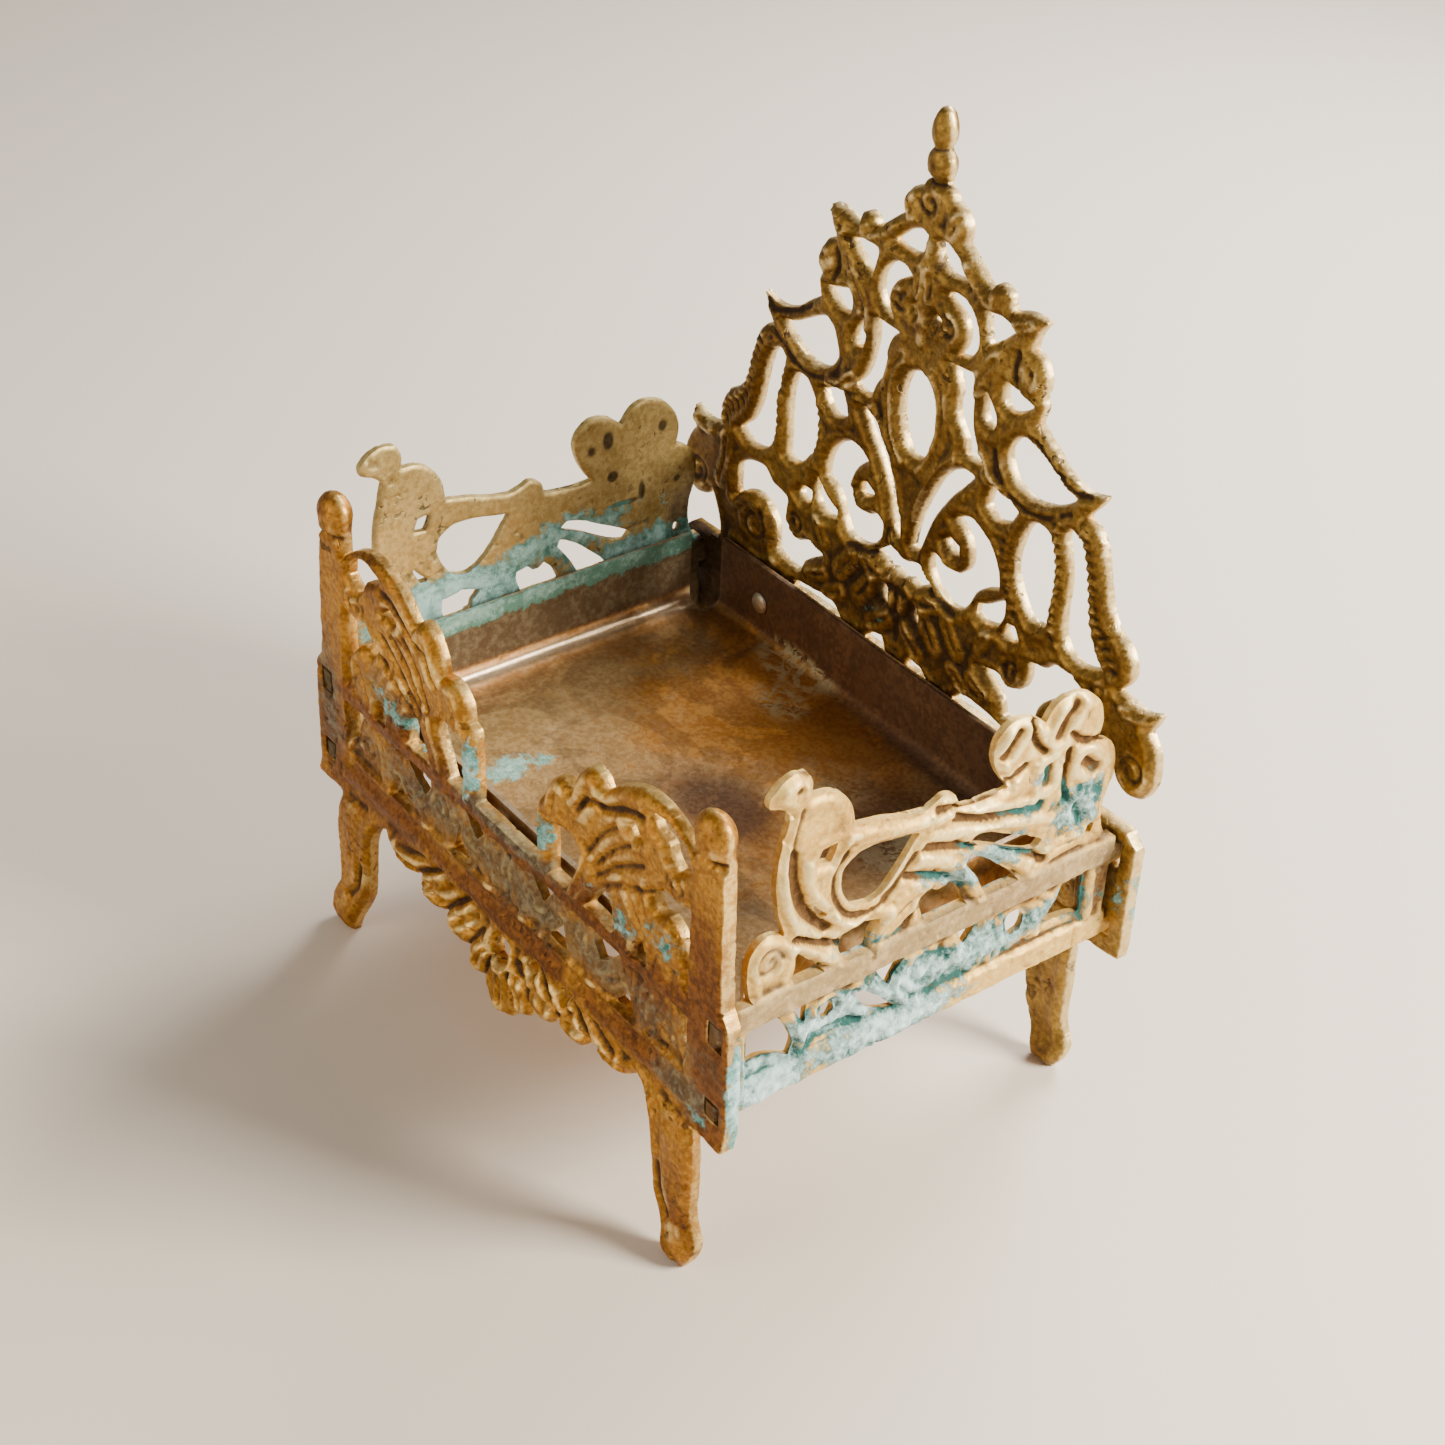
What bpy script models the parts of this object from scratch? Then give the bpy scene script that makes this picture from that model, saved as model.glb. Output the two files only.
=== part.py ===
"""Miniature bed-throne in cast brass: four pierced castings, a folded tray and its rivets.

The end castings carry the legs.  Each side casting passes its tenons through the mortises of both
end castings, and the tray hangs between them, riveted to the tall back casting.
Axes: +X is the bed's right as it faces the viewer, +Y runs to the headboard, +Z is up, and the
floor is Z = 0.  Lengths are written in millimetres and turned into metres by MM.
"""
import math

import bmesh
import bpy
from mathutils import Vector
from mathutils.geometry import tessellate_polygon

MM = 0.001

# Driving dimensions, in millimetres.
TOE_REACH = 2.2            # how far the feet stand forward of the plates
FRONT_THICKNESS = 2.6
BACK_THICKNESS = 2.4
SIDE_THICKNESS = 2.4
CLEARANCE = 0.3            # gap left where two pieces touch
BED_LENGTH = 69.6          # front face of the front casting to rear face of the back casting
RIVET_TAIL = 0.8           # how far the peened rivets stand out behind
FRONT_FACE_Y = TOE_REACH - (TOE_REACH + BED_LENGTH + RIVET_TAIL) / 2
BACK_FACE_Y = FRONT_FACE_Y + BED_LENGTH - BACK_THICKNESS
SIDE_OUTER_X = 48.2        # outer faces of the two side castings
SIDE_START_Y = FRONT_THICKNESS + CLEARANCE
SIDE_END_Y = BED_LENGTH - BACK_THICKNESS - CLEARANCE
TENON_SHORT = 0.2          # tenon ends stop this far inside the plate faces

RAIL_TOP = 43.2            # upper rail of the front casting
RAIL_UNDER = 40.9
PLATE_EDGE = 50.0          # half width of the front casting
BACK_PLATE_EDGE = 51.1
SIDE_RAIL_TOP = 44.8
SIDE_RAIL_UNDER = 40.9
TENON_LEVELS = ((28.0, 30.5), (39.7, 43.3))

FLARE_START = 27.0         # height below which legs and apron lean forward
FLARE_FALL = 6.0
FLARE_REACH = 1.2
FOOT_RISE = 6.0            # height over which the toe turns out
FOOT_FALL = 4.5
LEG_SPRING = (31.4, 24.0)  # where a leg runs into the apron
REAR_LEG_INSET = 1.2       # the rear legs stand this much closer together
REAR_APRON_EDGE = 25.6     # straight lower edge between the rear legs

REAR_OPENINGS = (7.0, 20.0, 37.0)   # middles of the pointed openings between the rear rails
REAR_OPENING_HALF = 4.6
REAR_OPENING_FOOT = 32.4
REAR_OPENING_WAIST = (1.2, 36.4)    # half width and height where the point begins
REAR_OPENING_TIP = 39.6

TRAY_HALF_WIDTH = 43.5
TRAY_FRONT_Y = 3.4
TRAY_BACK_Y = 66.8
TRAY_SHEET = 0.8
TRAY_FLOOR = 36.0          # upper face of the floor
TRAY_RIM = 48.0
TRAY_FRONT_RIM = 43.9
TRAY_FOLD = 2.6            # outer radius of the folded edges
TRAY_NOTCH = 4.2           # corner cut-out along each side
FOLD_STEPS = 4             # facets of a folded edge

RIVET_X = 29.0
RIVET_Z = 41.4
RIVET_SHANK = 0.75
RIVET_HEAD = 1.7
RIVET_HEAD_RISE = 0.7
RIVET_TAIL_RADIUS = 1.3
RIVET_SHOULDER = (0.6, 0.85)        # shares of radius and rise where the dome turns down
RIVET_FACETS = 14
HOLE_FACETS = 12
WELD = 0.0001              # vertices closer than this are one

KNOB_CENTRE = (44.1, 70.7)
KNOB_RADIUS = 3.2
KNOB_ARC = (204, -24, 9)   # start and end angle in degrees, and steps

HEAD_SWAY = 0.024          # the wider the upper headboard spreads, the more it leans towards +X
HEAD_SWAY_START = 62.0
HEAD_SWAY_RISE = 8.0

CHORD = 1.5                # longest straight chord used along a curved edge


def smooth_step(value):
    """0 below 0, 1 above 1, and an even S-shaped rise between."""
    held = min(max(value, 0.0), 1.0)
    return held * held * (3.0 - 2.0 * held)


def curve_through(points, closed=False):
    """Points spaced about CHORD apart on a Catmull-Rom curve through the given ones."""
    count = len(points)
    if count == 2:
        return list(points)
    sampled = []
    for index in range(count if closed else count - 1):
        p1 = Vector(points[index])
        p2 = Vector(points[(index + 1) % count])
        p0 = Vector(points[index - 1]) if closed or index else 2 * p1 - p2
        far = index + 2
        p3 = Vector(points[far % count]) if closed or far < count else 2 * p2 - p1
        steps = max(1, round((p2 - p1).length / CHORD))
        for step in range(steps):
            t = step / steps
            bend = (2 * p1 + (p2 - p0) * t + (2 * p0 - 5 * p1 + 4 * p2 - p3) * t ** 2
                    + (3 * p1 - p0 - 3 * p2 + p3) * t ** 3)
            sampled.append(tuple(bend / 2))
    if not closed:
        sampled.append(tuple(points[-1]))
    return sampled


def joined(runs):
    """One open line made of smooth runs that meet at corners."""
    line = []
    for run in runs:
        piece = curve_through(run)
        line.extend(piece if not line else piece[1:])
    return line


def loop_of(runs):
    """A closed outline made of runs; the last run ends where the first begins."""
    return joined(runs)[:-1]


def flipped(points):
    """The same points on the other side of the middle line, in reverse order."""
    return [(-x, z) for x, z in reversed(points)]


def both_halves(half):
    """A closed outline from its right half, which starts and ends on the middle line."""
    return half + flipped(half)[1:-1]


def on_both_sides(holes):
    """Each hole and its mirror image."""
    return list(holes) + [flipped(hole) for hole in holes]


def arc(centre, radius, start, end, steps):
    """Points on a circular arc, angles in degrees."""
    turns = [math.radians(start + (end - start) * step / steps) for step in range(steps + 1)]
    return [(centre[0] + radius * math.cos(turn), centre[1] + radius * math.sin(turn)) for turn in turns]


def box_loop(x0, x1, z0, z1):
    """A rectangular outline."""
    return [(x0, z0), (x1, z0), (x1, z1), (x0, z1)]


def brass(name, colour, roughness, metallic=1.0):
    """A metal with its own colour and polish."""
    material = bpy.data.materials.new(name)
    material.use_nodes = True
    shader = material.node_tree.nodes["Principled BSDF"]
    shader.inputs["Base Color"].default_value = (*colour, 1.0)
    shader.inputs["Roughness"].default_value = roughness
    shader.inputs["Metallic"].default_value = metallic
    return material


def add_object(name, bm, material):
    """Turn a bmesh, drawn in millimetres, into a named object in metres."""
    bmesh.ops.recalc_face_normals(bm, faces=bm.faces)
    bmesh.ops.scale(bm, vec=(MM, MM, MM), verts=bm.verts)
    mesh = bpy.data.meshes.new(name)
    bm.to_mesh(mesh)
    bm.free()
    mesh.materials.append(material)
    thing = bpy.data.objects.new(name, mesh)
    bpy.context.scene.collection.objects.link(thing)
    return thing


def cut_plate(outline, holes, place, thickness):
    """A plate of even thickness: place(u, v, depth) gives the position of a drawing point."""
    loops = [outline, *holes]
    flat = [point for loop in loops for point in loop]
    bm = bmesh.new()
    near = [bm.verts.new(place(u, v, 0.0)) for u, v in flat]
    far = [bm.verts.new(place(u, v, thickness)) for u, v in flat]
    for a, b, c in tessellate_polygon([[Vector((u, v, 0.0)) for u, v in loop] for loop in loops]):
        bm.faces.new((near[a], near[b], near[c]))
        bm.faces.new((far[c], far[b], far[a]))
    start = 0
    for loop in loops:
        ring = range(start, start + len(loop))
        for a, b in zip(ring, [*ring[1:], start]):
            bm.faces.new((near[a], near[b], far[b], far[a]))
        start += len(loop)
    return bm


def forward_lean(height):
    """How far legs and apron stand forward of the plate at a height."""
    flare = FLARE_REACH * smooth_step((FLARE_START - height) / FLARE_FALL)
    return flare + (TOE_REACH - FLARE_REACH) * smooth_step((FOOT_RISE - height) / FOOT_FALL)


def front_place(x, z, depth):
    """Place drawing points of the front casting."""
    return Vector((x, FRONT_FACE_Y + depth - forward_lean(z), z))


def headboard_place(x, z, depth):
    """Place drawing points of the back casting, whose open upper part isn't quite true."""
    sway = HEAD_SWAY * abs(x) * smooth_step((z - HEAD_SWAY_START) / HEAD_SWAY_RISE)
    return Vector((x + sway, BACK_FACE_Y + depth - forward_lean(z), z))


def facing_side(sign):
    """Place drawing points (length along the bed, height) of a side casting."""
    def place(along, z, depth):
        return Vector((sign * (SIDE_OUTER_X - depth), FRONT_FACE_Y + along, z))
    return place


def leg_outer(inset):
    """Outer edge of a leg from the plate down to the floor."""
    return curve_through([(43.4 - inset, 24.3), (44.2 - inset, 21.0), (44.4 - inset, 15.0), (44.3 - inset, 9.0),
                          (45.0 - inset, 6.4), (46.0 - inset, 4.4), (45.6 - inset, 2.2), (44.2 - inset, 0.0)])


def leg_inner(inset):
    """Inner edge of a leg from the floor up to the spring of the arch."""
    return curve_through([(40.2 - inset, 0.0), (38.9 - inset, 3.6), (36.9 - inset, 7.6), (36.0 - inset, 12.0),
                          (35.6 - inset, 16.6), (34.8 - inset, 20.6), (33.2 - inset, 23.2),
                          (LEG_SPRING[0] - inset, LEG_SPRING[1])])


def apron_edge():
    """Scalloped lower edge of the fan, from the leg to the middle."""
    return joined([
        [LEG_SPRING, (28.4, 21.9), (24.6, 21.4), (21.6, 22.4)],
        [(21.6, 22.4), (19.4, 20.1), (16.4, 19.8), (13.9, 21.0)],
        [(13.9, 21.0), (12.4, 18.9), (10.2, 18.2), (8.0, 18.8)],
        [(8.0, 18.8), (7.3, 16.6), (5.8, 15.6), (4.0, 15.9)],
        [(4.0, 15.9), (2.7, 13.2), (0.0, 12.2)]])


def wing_edge():
    """Upper edge of a front wing, from the middle of the step to the post."""
    return joined([
        [(0.0, RAIL_TOP), (7.6, RAIL_TOP)],
        [(7.6, RAIL_TOP), (7.8, 53.4)],
        [(7.8, 53.4), (8.3, 54.6), (9.4, 55.1)],
        [(9.4, 55.1), (9.8, 57.4), (11.4, 59.4), (13.6, 60.0), (15.6, 59.4)],
        [(15.6, 59.4), (16.1, 62.0), (17.7, 64.4), (19.8, 65.5), (21.4, 65.0), (22.4, 63.6)],
        [(22.4, 63.6), (25.0, 66.1), (28.5, 68.1), (32.5, 69.0), (36.5, 68.4), (39.5, 66.7), (41.3, 65.2)],
        [(41.3, 65.2), (41.3, 68.6)]])


def front_outline():
    """The whole outline of the front casting."""
    knob = arc(KNOB_CENTRE, KNOB_RADIUS, *KNOB_ARC)
    plate = [(47.5, 60.0), (48.0, 46.2), (49.8, 43.8), (PLATE_EDGE, 24.2)]
    right = (wing_edge() + knob + plate + leg_outer(0.0) + leg_inner(0.0) + apron_edge()[1:])
    return both_halves(right)


def front_openings():
    """Pierced openings of the front casting's right half; all but the middle one are mirrored."""
    top = RAIL_TOP
    beam = RAIL_UNDER
    under_arch = loop_of([
        [(40.3, 62.6), (40.0, 64.8), (37.8, 66.5), (34.4, 67.0), (31.4, 66.2)],
        [(31.4, 66.2), (33.4, 64.7), (35.4, 64.0), (36.3, 62.2), (37.8, 61.0), (40.3, 62.6)]])
    slit = curve_through([(30.7, 61.5), (29.2, 62.8), (27.3, 61.6), (28.6, 60.7)], closed=True)
    beside_post = loop_of([
        [(41.0, 57.0), (38.2, 56.5), (35.4, 57.0), (34.3, 55.6), (32.4, 55.0)],
        [(32.4, 55.0), (34.0, 52.4), (36.2, 53.0), (38.2, 51.8), (39.6, 49.6), (40.3, 46.6), (41.0, 44.6)],
        [(41.0, 44.6), (41.0, 57.0)]])
    under_bud = loop_of([
        [(32.6, top), (30.2, top)],
        [(30.2, top), (31.0, 45.2), (32.0, 45.6)],
        [(32.0, 45.6), (32.6, top)]])
    under_leaf = loop_of([
        [(25.0, top), (18.6, top)],
        [(18.6, top), (20.4, 45.8), (22.4, 48.4), (24.0, 47.8), (24.8, 45.6), (25.0, top)]])
    beside_step = loop_of([
        [(14.2, top), (10.4, top)],
        [(10.4, top), (10.4, 52.3)],
        [(10.4, 52.3), (13.2, 52.1), (15.8, 52.3), (17.1, 50.8), (16.3, 47.4), (14.2, top)]])
    frieze = [
        loop_of([[(41.4, beam), (36.8, beam)], [(36.8, beam), (38.8, 38.6), (39.8, 35.6), (41.4, 34.2)],
                 [(41.4, 34.2), (41.4, beam)]]),
        loop_of([[(26.8, beam), (19.9, beam)], [(19.9, beam), (20.2, 37.8), (21.4, 36.0)],
                 [(21.4, 36.0), (23.4, 37.2), (26.8, beam)]]),
        loop_of([[(27.9, 35.2), (26.8, 33.6), (25.2, 31.9)], [(25.2, 31.9), (29.4, 31.7)],
                 [(29.4, 31.7), (28.6, 33.2), (27.9, 35.2)]]),
        loop_of([[(11.8, beam), (5.4, beam)], [(5.4, beam), (6.6, 38.4), (8.2, 36.6)],
                 [(8.2, 36.6), (9.6, 38.6), (11.8, beam)]]),
        loop_of([[(12.8, 36.8), (11.8, 34.6), (9.6, 32.2)], [(9.6, 32.2), (14.0, 31.7)],
                 [(14.0, 31.7), (13.3, 34.0), (12.8, 36.8)]])]
    fan = [curve_through([(16.2, 26.6), (14.4, 26.6), (13.4, 25.2), (15.0, 24.8)], closed=True),
           curve_through([(7.6, 26.4), (6.2, 26.2), (5.8, 24.4), (7.0, 23.6), (8.2, 24.8)], closed=True)]
    mortises = [box_loop(SIDE_OUTER_X - SIDE_THICKNESS - CLEARANCE, SIDE_OUTER_X + CLEARANCE,
                         low - CLEARANCE, high + CLEARANCE) for low, high in TENON_LEVELS]
    return [under_arch, slit, beside_post, under_bud, under_leaf, beside_step, *frieze, *fan, *mortises]


def fan_eye():
    """The egg-shaped opening in the middle of the fan."""
    return curve_through([(0.0, 26.3), (1.7, 25.2), (2.0, 23.0), (1.2, 21.4), (0.0, 21.0),
                          (-1.2, 21.4), (-2.0, 23.0), (-1.7, 25.2)], closed=True)


def headboard_edge():
    """Right-hand edge of the headboard, from the finial's tip down to the plate."""
    return joined([
        [(0.0, 131.2), (1.1, 130.4), (1.9, 128.4), (1.8, 126.6), (1.1, 125.4)],
        [(1.1, 125.4), (2.1, 124.4), (2.3, 123.0), (1.9, 121.6), (1.2, 120.9)],
        [(1.2, 120.9), (2.5, 120.1), (3.5, 118.8)],
        [(3.5, 118.8), (4.8, 118.4), (6.0, 117.2), (6.3, 115.7), (5.9, 114.5)],
        [(5.9, 114.5), (8.0, 112.9), (10.0, 111.3), (11.6, 110.1)],
        [(11.6, 110.1), (12.2, 111.1), (13.5, 111.6), (14.9, 110.9), (15.6, 108.6)],
        [(15.6, 108.6), (17.8, 109.5), (20.0, 109.9), (22.0, 109.7)],
        [(22.0, 109.7), (20.8, 107.9), (20.2, 106.4), (20.0, 105.2)],
        [(20.0, 105.2), (21.8, 104.5), (23.1, 102.7), (23.2, 101.0), (22.7, 99.6)],
        [(22.7, 99.6), (23.2, 98.2), (22.4, 95.5)],
        [(22.4, 95.5), (25.0, 93.8), (27.6, 91.9), (30.2, 90.6), (33.0, 90.3), (35.9, 91.1)],
        [(35.9, 91.1), (34.6, 89.0), (33.4, 87.6), (32.8, 86.6)],
        [(32.8, 86.6), (34.6, 86.1), (36.1, 84.5), (37.1, 82.0), (37.8, 79.5), (38.5, 77.0), (39.5, 74.8),
         (41.0, 73.2), (42.8, 72.1), (44.0, 70.4), (44.4, 68.4), (43.9, 66.6), (43.0, 65.5)],
        [(43.0, 65.5), (45.5, 64.8), (48.0, 64.6), (50.8, 65.8)],
        [(50.8, 65.8), (50.4, 63.8), (49.6, 62.2)],
        [(49.6, 62.2), (51.2, 60.2), (52.0, 57.6), (51.8, 54.6), (50.2, 51.8), (47.8, 51.1), (45.8, 52.0),
         (44.7, 53.6)],
        [(44.7, 53.6), (43.5, 51.0), (42.6, 48.4), (42.2, 45.6)]])


def back_outline():
    """The whole outline of the back casting, with its plates, legs and straight lower edge."""
    plate = [(49.0, 45.6), (BACK_PLATE_EDGE, 43.8), (BACK_PLATE_EDGE, 25.1)]
    leg = leg_outer(REAR_LEG_INSET) + leg_inner(REAR_LEG_INSET)[:-1]
    apron = [(LEG_SPRING[0] - REAR_LEG_INSET, REAR_APRON_EDGE), (0.0, REAR_APRON_EDGE)]
    return both_halves(headboard_edge() + plate + leg + apron)


def crown_openings():
    """Openings around the crown, its two rings and the peacocks' heads and wings."""
    return [
        loop_of([[(0.9, 112.7), (2.6, 113.1), (4.6, 112.3), (6.4, 110.9), (7.9, 109.5)],
                 [(7.9, 109.5), (6.0, 109.2), (4.0, 109.1), (2.4, 109.7), (1.3, 111.0), (0.9, 112.7)]]),
        loop_of([[(3.3, 105.9), (4.8, 106.8), (6.8, 106.8), (8.8, 105.6), (10.0, 103.3), (9.9, 100.8),
                  (8.5, 98.9), (6.4, 98.4)],
                 [(6.4, 98.4), (7.4, 99.9), (7.7, 101.8), (7.1, 103.7), (5.6, 104.9), (3.3, 105.9)]]),
        curve_through([(2.0, 102.8), (2.9, 101.9), (2.3, 100.9), (1.4, 101.7)], closed=True),
        loop_of([[(11.0, 107.0), (14.0, 107.2), (16.8, 106.4)], [(16.8, 106.4), (14.2, 104.0), (11.9, 102.4)],
                 [(11.9, 102.4), (11.4, 104.6), (11.0, 107.0)]]),
        loop_of([[(16.2, 98.9), (17.8, 98.5), (19.8, 97.9), (21.5, 97.6)],
                 [(21.5, 97.6), (19.8, 96.2), (17.6, 95.0), (15.9, 95.4), (15.6, 97.3), (16.2, 98.9)]]),
        loop_of([[(12.6, 96.0), (12.3, 93.6), (13.0, 91.4), (14.5, 91.0)],
                 [(14.5, 91.0), (14.9, 92.8), (13.9, 94.6), (12.6, 96.0)]]),
        loop_of([[(30.8, 88.5), (28.4, 86.3), (25.2, 84.8), (21.8, 84.6), (19.2, 86.0), (17.8, 88.6),
                  (18.7, 91.3), (20.6, 92.7), (23.0, 92.1), (26.0, 90.4), (28.6, 89.0), (30.8, 88.5)]]),
        loop_of([[(10.4, 97.2), (10.4, 94.0), (10.8, 90.8), (12.0, 87.6), (14.0, 85.3)],
                 [(14.0, 85.3), (11.8, 84.7), (9.8, 85.0)], [(9.8, 85.0), (9.3, 87.2), (7.9, 89.2)],
                 [(7.9, 89.2), (7.2, 91.2), (7.5, 93.6), (6.6, 95.6), (5.2, 96.8)],
                 [(5.2, 96.8), (10.4, 97.2)]])]


def tail_openings():
    """Openings between the tail feathers and around the spirals of the middle."""
    return [
        loop_of([[(12.0, 82.6), (10.2, 80.2), (7.6, 77.0), (5.4, 73.6), (4.0, 70.0), (2.8, 66.6)],
                 [(2.8, 66.6), (2.0, 65.8), (1.2, 66.4)],
                 [(1.2, 66.4), (1.7, 69.6), (3.0, 73.8), (5.0, 78.0), (7.6, 81.3), (10.2, 82.8), (12.0, 82.6)]]),
        loop_of([[(15.9, 83.2), (18.0, 82.8), (20.8, 81.6)], [(20.8, 81.6), (19.3, 79.2), (17.2, 78.4)],
                 [(17.2, 78.4), (14.9, 79.8), (15.9, 83.2)]]),
        loop_of([[(9.4, 74.9), (11.6, 76.1), (14.4, 75.8), (17.0, 73.9), (18.6, 71.0), (18.9, 68.2)],
                 [(18.9, 68.2), (17.0, 67.4), (15.0, 65.8), (14.0, 63.4)],
                 [(14.0, 63.4), (12.4, 61.4), (9.6, 61.1), (7.0, 62.4), (5.4, 64.6), (5.2, 67.0)],
                 [(5.2, 67.0), (6.8, 67.4), (8.6, 66.5), (10.8, 66.6), (12.5, 68.2), (12.9, 70.6),
                  (11.8, 73.0), (9.4, 74.9)]]),
        curve_through([(7.6, 70.5), (9.0, 71.5), (10.7, 71.0), (11.0, 69.5), (9.6, 69.1), (8.4, 69.7)], closed=True),
        loop_of([[(20.5, 67.4), (20.7, 64.8), (19.5, 62.6), (17.4, 61.9), (15.4, 62.4)],
                 [(15.4, 62.4), (15.4, 64.0), (17.2, 64.9), (20.5, 67.4)]]),
        curve_through([(21.3, 64.1), (23.2, 64.2), (24.3, 62.8), (22.6, 61.6), (21.2, 62.2)], closed=True),
        loop_of([[(28.2, 67.4), (25.6, 67.0), (23.2, 69.4), (21.4, 72.5), (21.6, 76.4), (22.6, 79.8),
                  (24.4, 81.6), (26.6, 81.6), (28.0, 79.4), (28.6, 75.6), (28.4, 71.5), (28.2, 67.4)]]),
        loop_of([[(39.6, 66.8), (36.8, 65.4), (34.0, 65.5), (31.9, 67.4), (31.1, 71.0), (31.2, 76.0),
                  (30.4, 80.0), (29.6, 82.7), (30.8, 84.0), (32.6, 82.9), (34.0, 80.0), (34.9, 76.0),
                  (35.8, 72.2), (37.4, 69.0), (39.6, 66.8)]])]


def volute_openings():
    """Openings around the volutes and leaves at the foot of the headboard."""
    return [
        loop_of([[(38.9, 60.4), (36.8, 61.9), (33.8, 62.8), (31.6, 62.8), (30.0, 61.4), (26.6, 60.6)],
                 [(26.6, 60.6), (26.8, 58.0), (25.6, 55.5), (23.6, 54.5), (21.4, 55.6), (17.4, 54.9)],
                 [(17.4, 54.9), (20.2, 53.2), (22.2, 51.4), (22.8, 49.4)],
                 [(22.8, 49.4), (26.2, 49.4), (28.9, 50.4)],
                 [(28.9, 50.4), (29.2, 54.2), (31.2, 56.7), (34.2, 57.5), (37.2, 56.6), (38.9, 54.9)],
                 [(38.9, 54.9), (38.9, 60.4)]]),
        loop_of([[(12.2, 46.4), (24.4, 46.4)], [(24.4, 46.4), (23.6, 47.4), (18.5, 48.2), (14.6, 48.6)],
                 [(14.6, 48.6), (12.2, 46.4)]]),
        loop_of([[(2.2, 46.4), (7.4, 46.4)], [(7.4, 46.4), (5.2, 48.1), (3.2, 48.5)], [(3.2, 48.5), (2.2, 46.4)]]),
        curve_through([(3.1, 57.5), (4.2, 57.3), (4.4, 55.4), (3.6, 53.9), (2.7, 55.0)], closed=True)]


def rear_frieze():
    """Plain pointed openings between the rear rails; the pattern follows the front one."""
    foot = REAR_OPENING_FOOT
    waist, shoulder = REAR_OPENING_WAIST
    peaks = []
    for x in REAR_OPENINGS:
        left = (x - REAR_OPENING_HALF, foot)
        right = (x + REAR_OPENING_HALF, foot)
        tip = (x, REAR_OPENING_TIP)
        peaks.append(loop_of([[left, right], [right, (x + waist, shoulder), tip],
                              [tip, (x - waist, shoulder), left]]))
    mortises = [box_loop(SIDE_OUTER_X - SIDE_THICKNESS - CLEARANCE, SIDE_OUTER_X + CLEARANCE,
                         low - CLEARANCE, high + CLEARANCE) for low, high in TENON_LEVELS]
    return peaks + mortises


def rivet_hole(x):
    """A round hole for one rivet."""
    return arc((x, RIVET_Z), RIVET_SHANK + CLEARANCE, 0, 360 - 360 / HOLE_FACETS, HOLE_FACETS - 1)


def middle_openings():
    """Openings that lie on the headboard's middle line."""
    oval = both_halves(curve_through([(0.0, 93.2), (2.0, 92.3), (3.5, 89.6), (3.6, 86.0), (2.8, 82.6),
                                      (1.3, 80.2), (0.0, 79.8)]))
    gable = both_halves(joined([[(0.0, 63.2), (1.6, 63.7), (3.0, 64.1), (4.6, 62.9), (6.3, 61.7)],
                                [(6.3, 61.7), (4.6, 61.2), (3.2, 60.3), (1.6, 60.8), (0.0, 60.1)]]))
    return [oval, gable]


def side_outline():
    """Outline of a side casting: length along the bed from the front face, then height."""
    first = SIDE_START_Y
    last = SIDE_END_Y
    out_front = TENON_SHORT
    out_back = BED_LENGTH - TENON_SHORT
    (low_foot, low_head), (high_foot, high_head) = TENON_LEVELS
    front = [(first, low_foot), (out_front, low_foot), (out_front, low_head), (first, low_head),
             (first, high_foot), (out_front, high_foot), (out_front, high_head), (first, high_head)]
    back = [(last, high_head), (out_back, high_head), (out_back, high_foot), (last, high_foot),
            (last, low_head), (out_back, low_head), (out_back, low_foot), (last, low_foot)]
    bird = joined([
        [(first, SIDE_RAIL_TOP), (5.5, SIDE_RAIL_TOP)],
        [(5.5, SIDE_RAIL_TOP), (5.0, 47.2), (4.8, 49.8), (5.4, 52.4), (7.3, 53.9), (9.2, 53.6), (10.6, 52.6)],
        [(10.6, 52.6), (9.4, 56.4), (8.6, 60.6), (8.8, 65.0), (9.6, 68.5), (10.2, 71.4)],
        [(10.2, 71.4), (8.8, 72.8), (6.8, 73.6)],
        [(6.8, 73.6), (6.8, 75.0), (8.2, 76.5), (10.4, 77.3), (12.4, 76.9), (13.2, 75.3), (13.2, 72.9)],
        [(13.2, 72.9), (15.8, 72.8), (18.2, 71.4), (19.8, 68.8), (20.4, 65.6)],
        [(20.4, 65.6), (24.0, 65.0), (28.0, 63.8), (32.0, 63.2), (35.0, 64.2), (36.9, 63.3), (37.5, 61.3)],
        [(37.5, 61.3), (40.5, 60.9), (43.6, 60.7), (46.0, 60.9)],
        [(46.0, 60.9), (43.9, 63.8), (42.8, 67.0), (43.4, 69.7), (45.7, 71.1), (49.0, 70.6), (51.4, 68.8)],
        [(51.4, 68.8), (53.0, 70.9), (55.6, 71.6), (58.9, 70.6), (61.2, 68.0), (61.9, 65.0), (61.4, 62.6)],
        [(61.4, 62.6), (64.0, 61.2), (65.4, 58.2), (65.2, 54.6), (64.4, 52.0), (64.2, 49.4), (64.8, 46.6),
         (65.8, SIDE_RAIL_TOP)],
        [(65.8, SIDE_RAIL_TOP), (last, SIDE_RAIL_TOP)]])
    return front + bird + back


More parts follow.
